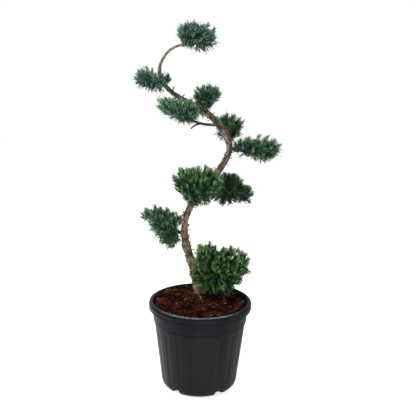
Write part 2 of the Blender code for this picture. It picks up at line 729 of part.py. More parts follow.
def make_tuft(name):
    """A small open tuft of sprays on one short stem from the trunk."""
    random = np.random.default_rng(seed_of(name))
    height, centre, radius, count = TUFTS[name]
    row, later = trunk_at_height(height), trunk_at_height(height + 0.004)
    centre, course = np.array(centre), unit(later[:3] - row[:3])
    out = centre - row[:3]
    out = unit(out - course * (out @ course))
    start = row[:3] + out * row[3]
    while limb_gaps(start[None])[0] < 2 * CLEAR:
        start = start + out * CLEAR
    line = start + (centre - start) * np.linspace(0, 1, 3)[:, None]
    shapes = [tube(line, (0.0024, 0.0021, 0.0016), 5, first_way=out)]
    for k, direction in enumerate(golden_directions(count, -0.1)):
        here = line[1] + (line[2] - line[1]) * (k + 1) / count
        way = unit(direction + out * 0.6)
        length = radius * random.uniform(0.95, 1.15)
        blade = (here - way * 0.004, here + way * length, 0.011, SPRAY_THICKNESS)
        probe = here + way * length * np.linspace(0.3, 1, 5)[:, None]
        if clear_of_limbs(probe, 0.0055) and in_own_space(name, here + (probe - here) * 0.9):
            shapes.append(spray_blade(*blade, random.uniform(0, math.pi)))
    return joined(f"foliage_{name}", shapes)


# ---------------------------------------------------------------- the plant
clear_scene()
make_pot()
make_potting_mix()
make_trunk()
for bough_name in BOUGHS:
    make_bough(bough_name)
for pad_name in PADS:
    make_pad(pad_name)
for tuft_name in TUFTS:
    make_tuft(tuft_name)
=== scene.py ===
import math
import zlib

import bpy
import numpy as np
from mathutils import Matrix, Vector


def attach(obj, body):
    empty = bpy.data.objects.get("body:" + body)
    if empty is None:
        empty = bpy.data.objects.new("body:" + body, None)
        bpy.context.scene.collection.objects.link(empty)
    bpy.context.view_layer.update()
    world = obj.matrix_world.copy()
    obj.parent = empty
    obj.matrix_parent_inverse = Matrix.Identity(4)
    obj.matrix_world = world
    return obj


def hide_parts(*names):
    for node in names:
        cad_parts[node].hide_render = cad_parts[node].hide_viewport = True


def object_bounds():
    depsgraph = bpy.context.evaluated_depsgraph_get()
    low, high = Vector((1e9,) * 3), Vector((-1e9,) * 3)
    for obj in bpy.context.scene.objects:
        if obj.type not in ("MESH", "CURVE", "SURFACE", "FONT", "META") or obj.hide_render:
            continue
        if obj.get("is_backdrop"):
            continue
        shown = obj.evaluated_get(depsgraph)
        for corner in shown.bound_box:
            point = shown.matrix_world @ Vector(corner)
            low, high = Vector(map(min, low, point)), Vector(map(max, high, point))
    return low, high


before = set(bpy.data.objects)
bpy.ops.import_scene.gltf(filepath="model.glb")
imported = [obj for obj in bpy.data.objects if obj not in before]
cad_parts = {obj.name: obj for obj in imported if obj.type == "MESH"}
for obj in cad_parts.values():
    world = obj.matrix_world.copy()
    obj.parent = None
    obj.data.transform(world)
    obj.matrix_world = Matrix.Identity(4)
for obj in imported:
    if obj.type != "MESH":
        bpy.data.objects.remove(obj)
cad_box = [list(corner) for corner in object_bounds()]

# ---------------------------------------------------------------- pot
# A round nursery container, moulded in one piece from charcoal plastic with a satin skin: flat
# base, drain notches round the foot, shallow flutes up the wall, a collar, and a rim that is
# rolled outwards and down. Turned as one surface, with the notches pushed in.
POT_HEIGHT, RIM_RADIUS, WALL = 0.353, 0.2035, 0.003
FOOT_RADIUS = 0.1195
COLLAR_HEIGHT, COLLAR_RADIUS, WALL_TOP_RADIUS = 0.273, 0.185, 0.1805
RIM_DROP = 0.0284
FLUTES, FLUTE_DEPTH = 20, 0.0014
NOTCHES, NOTCH_HALF_ANGLE, FIRST_NOTCH = 5, math.radians(7.6), math.radians(-38)
POT_AROUND = 400


def grid_triangles(rows, columns, wrap=False):
    """Triangles between the points of a grid stored row by row, closed from the last column to the
    first when it wraps."""
    across = np.arange(columns if wrap else columns - 1)
    first = np.arange(rows - 1)[:, None] * columns + across
    second = np.arange(rows - 1)[:, None] * columns + (across + 1) % columns
    lower = np.stack([first, second, second + columns], axis=-1)
    upper = np.stack([first, second + columns, first + columns], axis=-1)
    return np.concatenate([lower, upper], axis=1).reshape(-1, 3)


def make_piece(name, points, faces, materials, dealt=None, smooth=True):
    """A mesh object at the origin from arrays of points and triangles. dealt gives each triangle
    the number of its material."""
    mesh = bpy.data.meshes.new(name)
    mesh.vertices.add(len(points))
    mesh.vertices.foreach_set("co", np.asarray(points, np.float32).ravel())
    mesh.loops.add(faces.size)
    mesh.loops.foreach_set("vertex_index", faces.astype(np.int32).ravel())
    mesh.polygons.add(len(faces))
    mesh.polygons.foreach_set("loop_start", np.arange(0, faces.size, 3, dtype=np.int32))
    mesh.polygons.foreach_set("use_smooth", np.full(len(faces), smooth))
    for material in materials:
        mesh.materials.append(material)
    if dealt is not None:
        mesh.polygons.foreach_set("material_index", dealt.astype(np.int32))
    mesh.update(calc_edges=True)
    mesh.validate()
    piece = bpy.data.objects.new(name, mesh)
    bpy.context.scene.collection.objects.link(piece)
    return piece


def eased(values, low, high):
    """0 below low, 1 above high, and a smooth S between."""
    share = np.clip((values - low) / (high - low), 0, 1)
    return share * share * (3 - 2 * share)


def rounded(points, radius, steps=4):
    """The line through the points with each corner replaced by a quadratic arc that starts and
    ends at most radius from the corner."""
    points = [np.array(point, float) for point in points]
    line = [points[0]]
    for before, corner, after in zip(points, points[1:], points[2:]):
        back, ahead = before - corner, after - corner
        start = corner + back * min(0.4, radius / np.linalg.norm(back))
        end = corner + ahead * min(0.4, radius / np.linalg.norm(ahead))
        for share in np.linspace(0, 1, steps):
            line.append((1 - share) ** 2 * start + 2 * share * (1 - share) * corner + share**2 * end)
    return line + [points[-1]]


def pot_profile():
    """Rows of plain radius, plain height, and the radius and height where a notch is. The notched
    foot rises at the back of the notch and runs out level to the wall."""
    foot = [
        (0.0000, 0.0000, 0.0000, 0.0000),
        (0.0600, 0.0000, 0.0600, 0.0000),
        (0.0900, 0.0000, 0.0900, 0.0000),
        (0.0960, 0.0000, 0.0905, 0.0070),
        (0.1030, 0.0000, 0.0915, 0.0180),
        (0.1100, 0.0000, 0.0980, 0.0234),
        (0.1185, 0.0000, 0.1100, 0.0240),
        (0.1262, 0.0010, 0.1240, 0.0240),
        (0.1358, 0.0037, 0.1370, 0.0240),
        (0.1424, 0.0080, 0.1450, 0.0241),
        (0.1476, 0.0140, 0.1496, 0.0242),
        (0.1503, 0.0205, 0.1510, 0.0246),
    ]
    wall = [(0.1520, 0.0280), (0.1538, 0.045), (0.1551, 0.060)]
    wall += [(0.1783, 0.248), (0.1796, 0.259), (WALL_TOP_RADIUS, COLLAR_HEIGHT - 0.006)]
    rim_inside = POT_HEIGHT - 0.008
    rim_foot = POT_HEIGHT - RIM_DROP
    collar_inside = COLLAR_RADIUS - WALL
    top = [(COLLAR_RADIUS - 0.001, COLLAR_HEIGHT - 0.001), (COLLAR_RADIUS + 0.0005, COLLAR_HEIGHT + 0.006)]
    top += [(COLLAR_RADIUS + 0.002, rim_inside), (RIM_RADIUS - WALL - 0.001, rim_inside)]
    top += [(RIM_RADIUS - WALL, rim_foot), (RIM_RADIUS - 0.0004, rim_foot)]
    top += [(RIM_RADIUS, POT_HEIGHT - 0.010), (RIM_RADIUS - 0.003, POT_HEIGHT - 0.0022)]
    top += [(RIM_RADIUS - 0.008, POT_HEIGHT), (COLLAR_RADIUS + 0.003, POT_HEIGHT - 0.001)]
    inside = [(collar_inside + 0.0015, rim_inside - 0.004), (collar_inside, 0.300)]
    inside += [(collar_inside - 0.003, COLLAR_HEIGHT), (WALL_TOP_RADIUS - 0.005, COLLAR_HEIGHT - 0.008)]
    inside += [(0.1465, 0.030), (FOOT_RADIUS - 0.002, WALL), (0, WALL)]
    line = rounded(wall + top + inside, 0.0014)
    return np.array(foot + [(radius, height, radius, height) for radius, height in line])


def make_pot_surface():
    """Point (row, angle): the plain row's circle, moved to the notched row by a weight that is 1
    inside each notch, with the wall drawn in between flutes by a rounded wave."""
    rows = pot_profile()
    angles = 2 * math.pi * np.arange(POT_AROUND) / POT_AROUND
    half_gap = math.pi / NOTCHES
    from_notch = np.abs((angles - FIRST_NOTCH + half_gap) % (2 * half_gap) - half_gap)
    notch = 1 - eased(from_notch, NOTCH_HALF_ANGLE * 0.86, NOTCH_HALF_ANGLE * 1.14)
    radius = rows[:, 0:1] + (rows[:, 2:3] - rows[:, 0:1]) * notch
    height = rows[:, 1:2] + (rows[:, 3:4] - rows[:, 1:2]) * notch
    outer = np.arange(len(rows)) < np.argmax(rows[:, 1])
    fluted = eased(rows[:, 1], 0.034, 0.056) * (1 - eased(rows[:, 1], 0.250, 0.262)) * outer
    wave = eased(np.cos(FLUTES * angles), -0.98, -0.35)
    radius = radius - FLUTE_DEPTH * fluted[:, None] * (1 - wave)
    points = np.stack([radius * np.sin(angles), -radius * np.cos(angles), height], axis=-1)
    return points.reshape(-1, 3), grid_triangles(len(rows), POT_AROUND, wrap=True)


def new_material(name, colour, roughness):
    """A Principled material with its name, colour and roughness. Returns it with its nodes, links
    and shader."""
    material = bpy.data.materials.new(name)
    material.use_nodes = True
    nodes, links = material.node_tree.nodes, material.node_tree.links
    shader = nodes["Principled BSDF"]
    shader.inputs["Base Color"].default_value = (*colour, 1)
    shader.inputs["Roughness"].default_value = roughness
    return material, nodes, links, shader


def mottle_group():
    """Object-space noise at two scales, as a mask from 0 to 1: large clouds broken by fine grain."""
    group = bpy.data.node_groups.new("mottle", "ShaderNodeTree")
    face = group.interface
    face.new_socket("Vector", in_out="INPUT", socket_type="NodeSocketVector")
    for name, value in (("Clouds", 20.0), ("Grain", 400.0), ("Grain share", 0.3)):
        face.new_socket(name, in_out="INPUT", socket_type="NodeSocketFloat").default_value = value
    for name in ("Mask", "Fine"):
        face.new_socket(name, in_out="OUTPUT", socket_type="NodeSocketFloat")
    given, out = group.nodes.new("NodeGroupInput"), group.nodes.new("NodeGroupOutput")
    clouds, grain = group.nodes.new("ShaderNodeTexNoise"), group.nodes.new("ShaderNodeTexNoise")
    clouds.inputs["Detail"].default_value = 4
    grain.inputs["Detail"].default_value = 3
    blend = group.nodes.new("ShaderNodeMix")
    for texture, scale in ((clouds, "Clouds"), (grain, "Grain")):
        group.links.new(given.outputs["Vector"], texture.inputs["Vector"])
        group.links.new(given.outputs[scale], texture.inputs["Scale"])
    group.links.new(given.outputs["Grain share"], blend.inputs["Factor"])
    group.links.new(clouds.outputs["Fac"], blend.inputs["A"])
    group.links.new(grain.outputs["Fac"], blend.inputs["B"])
    group.links.new(blend.outputs["Result"], out.inputs["Mask"])
    group.links.new(grain.outputs["Fac"], out.inputs["Fine"])
    return group


MOTTLE = mottle_group()


def add_mottle(nodes, links, clouds, grain, share, stretch=(1, 1, 1)):
    """Places the mottle group on Object coordinates, stretched by a Mapping node, and returns its
    outputs."""
    place, mapping = nodes.new("ShaderNodeTexCoord"), nodes.new("ShaderNodeMapping")
    mapping.inputs["Scale"].default_value = stretch
    mottle = nodes.new("ShaderNodeGroup")
    mottle.node_tree = MOTTLE
    links.new(place.outputs["Object"], mapping.inputs["Vector"])
    links.new(mapping.outputs["Vector"], mottle.inputs["Vector"])
    for name, value in (("Clouds", clouds), ("Grain", grain), ("Grain share", share)):
        mottle.inputs[name].default_value = value
    return mottle.outputs


def add_ramp(nodes, links, source, stops):
    """A colour ramp read from a mask. stops are (place, colour)."""
    ramp = nodes.new("ShaderNodeValToRGB")
    while len(ramp.color_ramp.elements) < len(stops):
        ramp.color_ramp.elements.new(0.5)
    for element, (place, colour) in zip(ramp.color_ramp.elements, stops):
        element.position = place
        element.color = (*colour, 1)
    links.new(source, ramp.inputs["Fac"])
    return ramp.outputs["Color"]


def add_range(nodes, links, source, given, wanted=(0, 1), kind="LINEAR"):
    """Maps a value from the given range to the wanted one, and stops at both ends."""
    level = nodes.new("ShaderNodeMapRange")
    level.interpolation_type = kind
    for name, value in zip(("From Min", "From Max", "To Min", "To Max"), (*given, *wanted)):
        level.inputs[name].default_value = value
    links.new(source, level.inputs["Value"])
    return level.outputs["Result"]


def add_product(nodes, links, first, second):
    """The product of two values."""
    product = nodes.new("ShaderNodeMath")
    product.operation = "MULTIPLY"
    links.new(first, product.inputs[0])
    links.new(second, product.inputs[1])
    return product.outputs["Value"]


def add_blend(nodes, links, share, colour, other, way="MIX"):
    """Mixes other into colour by share. Each of them is a socket or a plain value."""
    blend = nodes.new("ShaderNodeMix")
    blend.data_type = "RGBA"
    blend.blend_type = way
    for name, given in (("Factor", share), ("A", colour), ("B", other)):
        if isinstance(given, bpy.types.NodeSocket):
            links.new(given, blend.inputs[name])
        else:
            blend.inputs[name].default_value = given
    return blend.outputs["Result"]


def object_axes(nodes, links):
    """X, Y and Z of Object coordinates."""
    place, split = nodes.new("ShaderNodeTexCoord"), nodes.new("ShaderNodeSeparateXYZ")
    links.new(place.outputs["Object"], split.inputs["Vector"])
    return split.outputs


def add_bump(nodes, links, shader, source, strength, distance):
    """Raises the shader's surface by source: 1 stands for distance in metres."""
    bump = nodes.new("ShaderNodeBump")
    bump.inputs["Strength"].default_value = strength
    bump.inputs["Distance"].default_value = distance
    links.new(source, bump.inputs["Height"])
    links.new(bump.outputs["Normal"], shader.inputs["Normal"])


# Shades of the plastic by its streaks, then three ramps up the pot as shares of its height: the
# plastic's tint, and the sheen, cut in the steps under the collar and the rim as painted shade.
POT_SHADES = ((0.30, (0.005, 0.006, 0.007)), (0.52, (0.008, 0.009, 0.010)), (0.74, (0.018, 0.018, 0.014)))
POT_TINTS = ((0.0, (1.40, 1.30, 0.95)), (0.55, (1.15, 1.15, 1.0)), (0.80, (0.95, 1.0, 1.15)))
# Sheen left in the steps under the collar and under the rim: painted shade.
COLLAR_PAINTED_SHADE, RIM_PAINTED_SHADE = (0.25,) * 3, (0.2,) * 3
POT_SHEEN = (
    (0.752, (1, 1, 1)),
    (0.759, COLLAR_PAINTED_SHADE),
    (0.781, COLLAR_PAINTED_SHADE),
    (0.788, (1, 1, 1)),
    (0.912, (1, 1, 1)),
    (0.917, RIM_PAINTED_SHADE),
    (0.927, RIM_PAINTED_SHADE),
    (0.940, (1, 1, 1)),
)
# The sheen is lowered on the right, from the first X to the second, as painted shade. A painted
# highlight lies on the front of the crest.
SHEEN_SHADE_SPAN, SHEEN_SHADE_LEVELS = (0.06, 0.16), (0.075, 0.022)
CREST_HIGHLIGHT_EDGE = ((0.42, (0, 0, 0)), (0.56, (1, 1, 1)))
CREST_HIGHLIGHT_COLOUR = (0.200, 0.215, 0.235, 1)
CREST_HIGHLIGHT_BANDS = (("Z", (POT_HEIGHT - 0.0034, POT_HEIGHT - 0.0008)), ("Y", (-0.120, -0.175)))


def pot_plastic():
    """Charcoal plastic: faint vertical flow streaks, olive near the foot and bluer at the collar,
    fine grain, painted shade that lowers the sheen on the right and under the collar and the rim,
    and a painted highlight on the front of the crest."""
    material, nodes, links, shader = new_material("charcoal_plastic", (0.010, 0.011, 0.012), 0.45)
    streaks = add_mottle(nodes, links, 9.0, 160.0, 0.25, stretch=(1.0, 1.0, 0.14))["Mask"]
    grain = add_mottle(nodes, links, 60.0, 900.0, 0.6)
    axes = object_axes(nodes, links)
    rise = add_range(nodes, links, axes["Z"], (0, POT_HEIGHT))
    skin = add_ramp(nodes, links, streaks, POT_SHADES)
    tinted = add_blend(nodes, links, 1.0, skin, add_ramp(nodes, links, rise, POT_TINTS), "MULTIPLY")
    # A paler band on the front of the crest, broken by the grain: painted highlight.
    crest_highlight = add_ramp(nodes, links, grain["Mask"], CREST_HIGHLIGHT_EDGE)
    for axis, band in CREST_HIGHLIGHT_BANDS:
        crest_highlight = add_product(nodes, links, add_range(nodes, links, axes[axis], band), crest_highlight)
    colour = add_blend(nodes, links, crest_highlight, tinted, CREST_HIGHLIGHT_COLOUR)
    links.new(colour, shader.inputs["Base Color"])
    gloss = add_range(nodes, links, grain["Mask"], (0.35, 0.70), (0.32, 0.46))
    links.new(gloss, shader.inputs["Roughness"])
    sheen = add_ramp(nodes, links, rise, POT_SHEEN)
    # Less sheen towards the right: painted shade.
    level = add_range(nodes, links, axes["X"], SHEEN_SHADE_SPAN, SHEEN_SHADE_LEVELS)
    links.new(add_product(nodes, links, sheen, level), shader.inputs["Specular IOR Level"])
    add_bump(nodes, links, shader, grain["Fine"], 0.12, 0.0006)
    return material


pot = make_piece("pot_body", *make_pot_surface(), [pot_plastic()])
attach(pot, "root")
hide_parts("pot")

# ---------------------------------------------------------------- potting mix
# Composted bark, damp and dark, that fills the pot to the rim and is heaped a little round the
# trunk's foot. The surface is one lumpy sheet with loose clods, chips and fibres lying on it.
FOOT_X, FOOT_Y, FOOT_LEVEL, SOIL_EDGE = -0.005, 0.065, 0.355, 0.348
SOIL_RADIUS, SOIL_UNDER = 0.181, 0.300
SOIL_RINGS, SOIL_AROUND = 90, 260
SOIL_LUMPS = ((0.0090, 0.040, 11), (0.0080, 0.016, 12), (0.0040, 0.007, 13))  # height, width, seed
CLODS, CHIPS, SHREDS, FIBRES, SPLINTERS = 420, 2200, 1300, 700, 16


def lattice_noise(across, along, cells_across, cells_along, seed):
    """Smooth random heights from 0 to 1. A lattice of random values is blended with eased weights;
    across and along run from 0 to 1, and across wraps round."""
    table = np.random.default_rng(seed).random((cells_along + 1, cells_across))
    x, y = np.mod(across, 1) * cells_across, np.clip(along, 0, 1) * cells_along
    column = np.minimum(x.astype(int), cells_across - 1)
    row = np.minimum(y.astype(int), cells_along - 1)
    fx, fy = eased(x - column, 0, 1), eased(y - row, 0, 1)
    after = (column + 1) % cells_across
    low = table[row, column] * (1 - fx) + table[row, after] * fx
    high = table[row + 1, column] * (1 - fx) + table[row + 1, after] * fx
    return low * (1 - fy) + high * fy


def plane_noise(x, y, cell, seed):
    """Lattice noise on a plane 0.4 m square, with the given cell size in metres."""
    cells = max(2, round(0.4 / cell))
    return lattice_noise(x / 0.4 + 0.5, y / 0.4 + 0.5, cells, cells, seed)


def soil_height(x, y):
    """Level at the wall and mounded at the foot, by a bell curve, with lumps at three sizes that are
    lower at the wall and die at the foot."""
    away = np.hypot(x - FOOT_X, y - FOOT_Y)
    mound = np.minimum(1, 1.25 * np.exp(-((away / 0.085) ** 2)))
    lumps = sum(tall * (plane_noise(x, y, cell, seed) - 0.5) for tall, cell, seed in SOIL_LUMPS)
    calm = (1 - eased(np.hypot(x, y), 0.165, SOIL_RADIUS) * 0.6) * eased(away, 0.012, 0.05)
    return SOIL_EDGE + 0.0005 + (FOOT_LEVEL - SOIL_EDGE) * mound + lumps * calm


def make_soil_surface():
    """Rings from the middle out at the soil's height, then down the wall and back to the middle."""
    reach = SOIL_RADIUS * np.linspace(0, 1, SOIL_RINGS)[:, None]
    angles = 2 * math.pi * np.arange(SOIL_AROUND)[None] / SOIL_AROUND
    x, y = reach * np.sin(angles), -reach * np.cos(angles)
    top = np.stack([x, y, soil_height(x, y)], axis=-1)
    side, under = top[-1:].copy(), top[:1].copy()
    side[..., 2] = SOIL_UNDER
    under[..., 2] = SOIL_UNDER
    points = np.concatenate([top, side * (0.985, 0.985, 1), under])
    return points.reshape(-1, 3), grid_triangles(len(points), SOIL_AROUND, wrap=True)[:, ::-1]


def unit(vectors):
    """Each vector over its own length."""
    return vectors / np.linalg.norm(vectors, axis=-1, keepdims=True)


def random_ways(random, count):
    """Random directions, even over the sphere."""
    return unit(random.normal(size=(count, 3)))


def scattered(shape, faces, centres, along, up, sizes):
    """Copies of a small shape: each point of the shape, times the copy's sizes, along its own
    three directions. along is the long way and up the flat side's normal."""
    along = unit(along)
    side = unit(np.cross(up, along))
    axes = np.stack([along, side, np.cross(along, side)], axis=1)
    points = np.einsum("kpi,kij->kpj", shape * sizes[:, None], axes) + centres[:, None]
    triangles = faces[None] + (np.arange(len(centres)) * len(shape))[:, None, None]
    return points.reshape(-1, 3), triangles.reshape(-1, 3)


# An uneven chip of eight faces, and a three-sided spindle of six faces for fibres.
CHIP = np.array(
    [(-0.5, 0.1, 0), (0.05, 0.5, 0.1), (0, 0, 0.5), (-0.1, -0.5, 0), (0, 0.1, -0.5), (0.5, -0.12, 0)]
)
CHIP_FACES = np.array(
    [(0, 2, 1), (0, 3, 2), (0, 4, 3), (0, 1, 4), (5, 1, 2), (5, 2, 3), (5, 3, 4), (5, 4, 1)]
)
SPINDLE_ANGLES = 2 * math.pi * np.arange(3) / 3
SPINDLE = np.array([(0, 0, 0), *((0.38, math.cos(a), math.sin(a)) for a in SPINDLE_ANGLES), (1, 0, 0)])
SPINDLE_FACES = np.array([(0, 2, 1), (0, 3, 2), (0, 1, 3), (4, 1, 2), (4, 2, 3), (4, 3, 1)])
LITTER_REACH, FOOT_CLEAR = 0.174, 0.027  # how far litter lies from the pot's and the trunk's middle


def soil_places(random, count, lift):
    """Even random places on the soil, clear of the wall and of the trunk's foot."""
    reach = LITTER_REACH * np.sqrt(random.random(count * 2))
    angle = 2 * math.pi * random.random(count * 2)
    x, y = reach * np.cos(angle), reach * np.sin(angle)
    free = np.flatnonzero(np.hypot(x - FOOT_X, y - FOOT_Y) > FOOT_CLEAR)[:count]
    return np.stack([x[free], y[free], soil_height(x[free], y[free]) + lift], axis=-1)


def make_litter(seed, count, shape, faces, lengths, widths, thickness, tilt, lift):
    """Loose bits of one kind, lying flat but for a random tilt, with random sizes."""
    random = np.random.default_rng(seed)
    centres = soil_places(random, count, lift)
    turn = random.uniform(0, 2 * math.pi, len(centres))
    along = np.stack([np.cos(turn), np.sin(turn), random.normal(0, tilt, len(centres))], axis=-1)
    up = unit(np.array([0, 0, 1.0]) + random.normal(0, tilt, (len(centres), 3)))
    long = random.uniform(*lengths, len(centres))
    wide = random.uniform(*widths, len(centres))
    thick = random.uniform(*thickness, len(centres))
    sizes = np.stack([long, wide, thick], axis=-1)
    return *scattered(shape, faces, centres, along, up, sizes), centres


def bark_mix(name, dark, light, roughness):
    """Damp bark in one shade: clouds of wetter and drier bits, with a fibrous bump."""
    material, nodes, links, shader = new_material(name, light, roughness)
    shader.inputs["Specular IOR Level"].default_value = 0.04
    mottle = add_mottle(nodes, links, 90.0, 700.0, 0.45)
    shades = add_ramp(nodes, links, mottle["Mask"], ((0.36, dark), (0.64, light)))
    links.new(shades, shader.inputs["Base Color"])
    add_bump(nodes, links, shader, mottle["Fine"], 0.5, 0.0008)
    return material


MIX_SHADES = [
    bark_mix("wet_bark", (0.003, 0.001, 0.001), (0.015, 0.004, 0.002), 0.85),
    bark_mix("dark_bark", (0.010, 0.003, 0.001), (0.035, 0.011, 0.006), 0.85),
    bark_mix("red_bark", (0.040, 0.009, 0.003), (0.112, 0.027, 0.010), 0.85),
    bark_mix("brown_bark", (0.055, 0.018, 0.007), (0.150, 0.056, 0.024), 0.9),
    bark_mix("dry_wood", (0.200, 0.110, 0.060), (0.420, 0.270, 0.160), 0.9),
]

soil = make_piece("potting_mix_surface", *make_soil_surface(), [MIX_SHADES[0]])
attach(soil, "root")
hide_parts("potting_mix")


def add_attribute(piece, name, values):
    """Gives each point of the piece a value that its material reads by name."""
    made = piece.data.attributes.new(name, "FLOAT", "POINT")
    made.data.foreach_set("value", np.asarray(values, np.float32).ravel())


class Joined:
    """Gathers the points, triangles and materials of many shapes for one piece, and the shades of
    their points where the piece is bark."""

    def __init__(self):
        self.points, self.faces, self.dealt, self.shades, self.count = [], [], [], [], 0

    def add(self, points, faces, dealt=0, shades=None):
        self.points.append(points)
        self.faces.append(faces + self.count)
        self.dealt.append(np.broadcast_to(dealt, len(faces)))
        if shades is not None:
            self.shades.append(np.broadcast_to(shades, len(points)))
        self.count += len(points)

    def make(self, name, materials, smooth=True):
        points, faces, dealt = (np.concatenate(each) for each in (self.points, self.faces, self.dealt))
        piece = make_piece(name, points, faces, materials, dealt, smooth)
        if self.shades:
            add_attribute(piece, "relief", np.concatenate(self.shades))
        return piece


# Seed, number, shape, lengths, widths, thicknesses, tilt and lift of each kind of loose bit.
LITTER = (
    (20, CLODS, (CHIP, CHIP_FACES), (0.010, 0.021), (0.008, 0.014), (0.004, 0.009), 0.40, 0.0004),
    (21, CHIPS, (CHIP, CHIP_FACES), (0.005, 0.014), (0.003, 0.008), (0.0015, 0.0035), 0.40, 0.0014),
    (22, SHREDS, (CHIP, CHIP_FACES), (0.010, 0.022), (0.0015, 0.004), (0.0008, 0.002), 0.25, 0.0012),
    (23, FIBRES, (SPINDLE, SPINDLE_FACES), (0.012, 0.030), (0.0004, 0.0009), (0.0004, 0.0009), 0.22, 0.0020),
    (27, SPLINTERS, (CHIP, CHIP_FACES), (0.010, 0.018), (0.004, 0.006), (0.0020, 0.0035), 0.30, 0.0040),
)
SHADE_STEPS = (-0.16, 0.20, 0.48, 1.05)  # dryness at which the next shade begins
litter = Joined()
for seed, count, (shape, faces), *sizes in LITTER:
    points, triangles, centres = make_litter(seed, count, shape, faces, *sizes)
    x, y = centres[:, 0], centres[:, 1]
    dry = plane_noise(x, y, 0.018, 15) + plane_noise(x, y, 0.050, 16)
    dry = dry - 1 + np.random.default_rng(seed + 50).normal(0, 0.34, len(centres))
    shade = np.searchsorted(SHADE_STEPS, dry)
    shade = np.full(len(centres), len(SHADE_STEPS)) if count == SPLINTERS else shade
    litter.add(points, triangles, np.repeat(shade, len(faces)))
litter = litter.make("bark_chips", MIX_SHADES, smooth=False)
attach(litter, "root")

# ---------------------------------------------------------------- trunk
# The trunk is one stem from the soil to the top pad, bent into a spiral while it was young. Its
# bark is grey-brown and stringy, in strips that wind with the stem, with small healed knots.
TRUNK_COURSE = (
    (FOOT_X, FOOT_Y, FOOT_LEVEL + 0.0003, 0.0165),
    (-0.030, 0.060, 0.465, 0.0160),
    (-0.065, 0.030, 0.600, 0.0150),
    (-0.065, 0.005, 0.660, 0.0120),
    (-0.045, -0.025, 0.735, 0.0120),
    (0.015, -0.055, 0.820, 0.0115),
    (0.070, -0.045, 0.895, 0.0115),
    (0.100, 0.000, 0.955, 0.0110),
    (0.078, 0.045, 1.018, 0.0120),
    (-0.020, 0.080, 1.103, 0.0098),
    (-0.112, 0.070, 1.152, 0.0080),
    (-0.165, 0.010, 1.235, 0.0070),
    (-0.150, -0.015, 1.285, 0.0050),
    (-0.105, -0.040, 1.325, 0.0045),
    (-0.075, -0.045, 1.335, 0.0045),
)
FLARE_HEIGHT, FLARE_RADIUS = 0.025, 0.002  # of the root flare
TRUNK_AROUND, TRUNK_ALONG = 84, 1000
KNOTS, STUBS, SPURS = 80, 26, 300


def smooth_course(stations, samples):
    """A natural cubic spline through the stations, spaced by chord, read at samples from 0 to 1."""
    rows = np.array(stations, float)
    chord = np.linalg.norm(np.diff(rows[:, :3], axis=0), axis=1)
    knots = np.concatenate([[0], np.cumsum(chord)]) / chord.sum()
    gaps = np.diff(knots)
    count = len(rows)
    system, right = np.eye(count), np.zeros_like(rows)
    for i in range(1, count - 1):
        system[i, i - 1 : i + 2] = gaps[i - 1], 2 * (gaps[i - 1] + gaps[i]), gaps[i]
        right[i] = 6 * ((rows[i + 1] - rows[i]) / gaps[i] - (rows[i] - rows[i - 1]) / gaps[i - 1])
    bend = np.linalg.solve(system, right)
    samples = np.clip(np.asarray(samples, float), 0, 1)
    span = np.clip(np.searchsorted(knots, samples) - 1, 0, count - 2)
    wide = gaps[span][:, None]
    before, after = (knots[span + 1] - samples)[:, None], (samples - knots[span])[:, None]
    return (
        bend[span] * before**3 / (6 * wide)
        + bend[span + 1] * after**3 / (6 * wide)
        + (rows[span] / wide - bend[span] * wide / 6) * before
        + (rows[span + 1] / wide - bend[span + 1] * wide / 6) * after
    )


def carried_frames(line):
    """Forward, side and other directions at each point of a line, carried along it untwisted."""
    forward = unit(np.gradient(line, axis=0))
    side = np.cross(forward[0], (1.0, 0, 0) if abs(forward[0][0]) < 0.9 else (0, 1.0, 0))
    sides = []
    for way in forward:
        side = unit(side - way * (side @ way))
        sides.append(side)
    sides = np.array(sides)
    return forward, sides, np.cross(forward, sides)


def carried_tube(line, radii, around, relief=0.0, squared_foot=None):
    """A closed tube: each ring is a circle of the local radius plus relief (a grid of ring by
    angle) across the line, with a pole at each end. squared_foot levels the lowest ring there."""
    _, sides, others = carried_frames(line)
    angles = 2 * math.pi * np.arange(around) / around
    reach = np.broadcast_to(np.asarray(radii)[:, None] + relief, (len(line), around))
    rings = sides[:, None] * np.cos(angles)[None, :, None] + others[:, None] * np.sin(angles)[None, :, None]
    points = line[:, None] + reach[..., None] * rings
    if squared_foot is not None:
        points[0, :, 2] = squared_foot
        points[1:, :, 2] = np.maximum(points[1:, :, 2], squared_foot + 0.0002)
    caps = [np.broadcast_to(p.mean(axis=0), (1, around, 3)) for p in (points[0], points[-1])]
    points = np.concatenate([caps[0], points, caps[1]])
    return points.reshape(-1, 3), grid_triangles(len(points), around, wrap=True)


trunk_shares = np.linspace(0, 1, TRUNK_ALONG)
TRUNK = smooth_course(TRUNK_COURSE, trunk_shares)
flare = np.clip(1 - (TRUNK[:, 2] - FOOT_LEVEL) / FLARE_HEIGHT, 0, 1) ** 2
TRUNK[:, 3] += FLARE_RADIUS * flare
# Where the bark is thinner or thicker than the stem's even taper: heights, then shares.
GIRTHS = (
    (0.42, 0.52, 0.62, 0.70, 0.97, 1.04, 1.10, 1.15),
    (1.00, 0.94, 0.90, 1.00, 1.00, 1.14, 1.12, 1.00),
)


def line_length(line):
    """The sum of the distances between neighbouring points."""
    return float(np.linalg.norm(np.diff(line, axis=0), axis=1).sum())


def bark_grid(shares, around, length):
    """The turn round a stem, wound slowly along it, and the share along it, at every grid point."""
    turn = np.arange(around)[None] / around + 0.45 * shares[:, None] * length
    return turn, np.broadcast_to(shares[:, None], turn.shape)


def bark_noise(turn, along, length, count, cell, seed):
    """Noise with count cells round the stem, each cell metres long, from 0 to 1."""
    return lattice_noise(turn, along, count, max(3, round(length / cell)), seed)


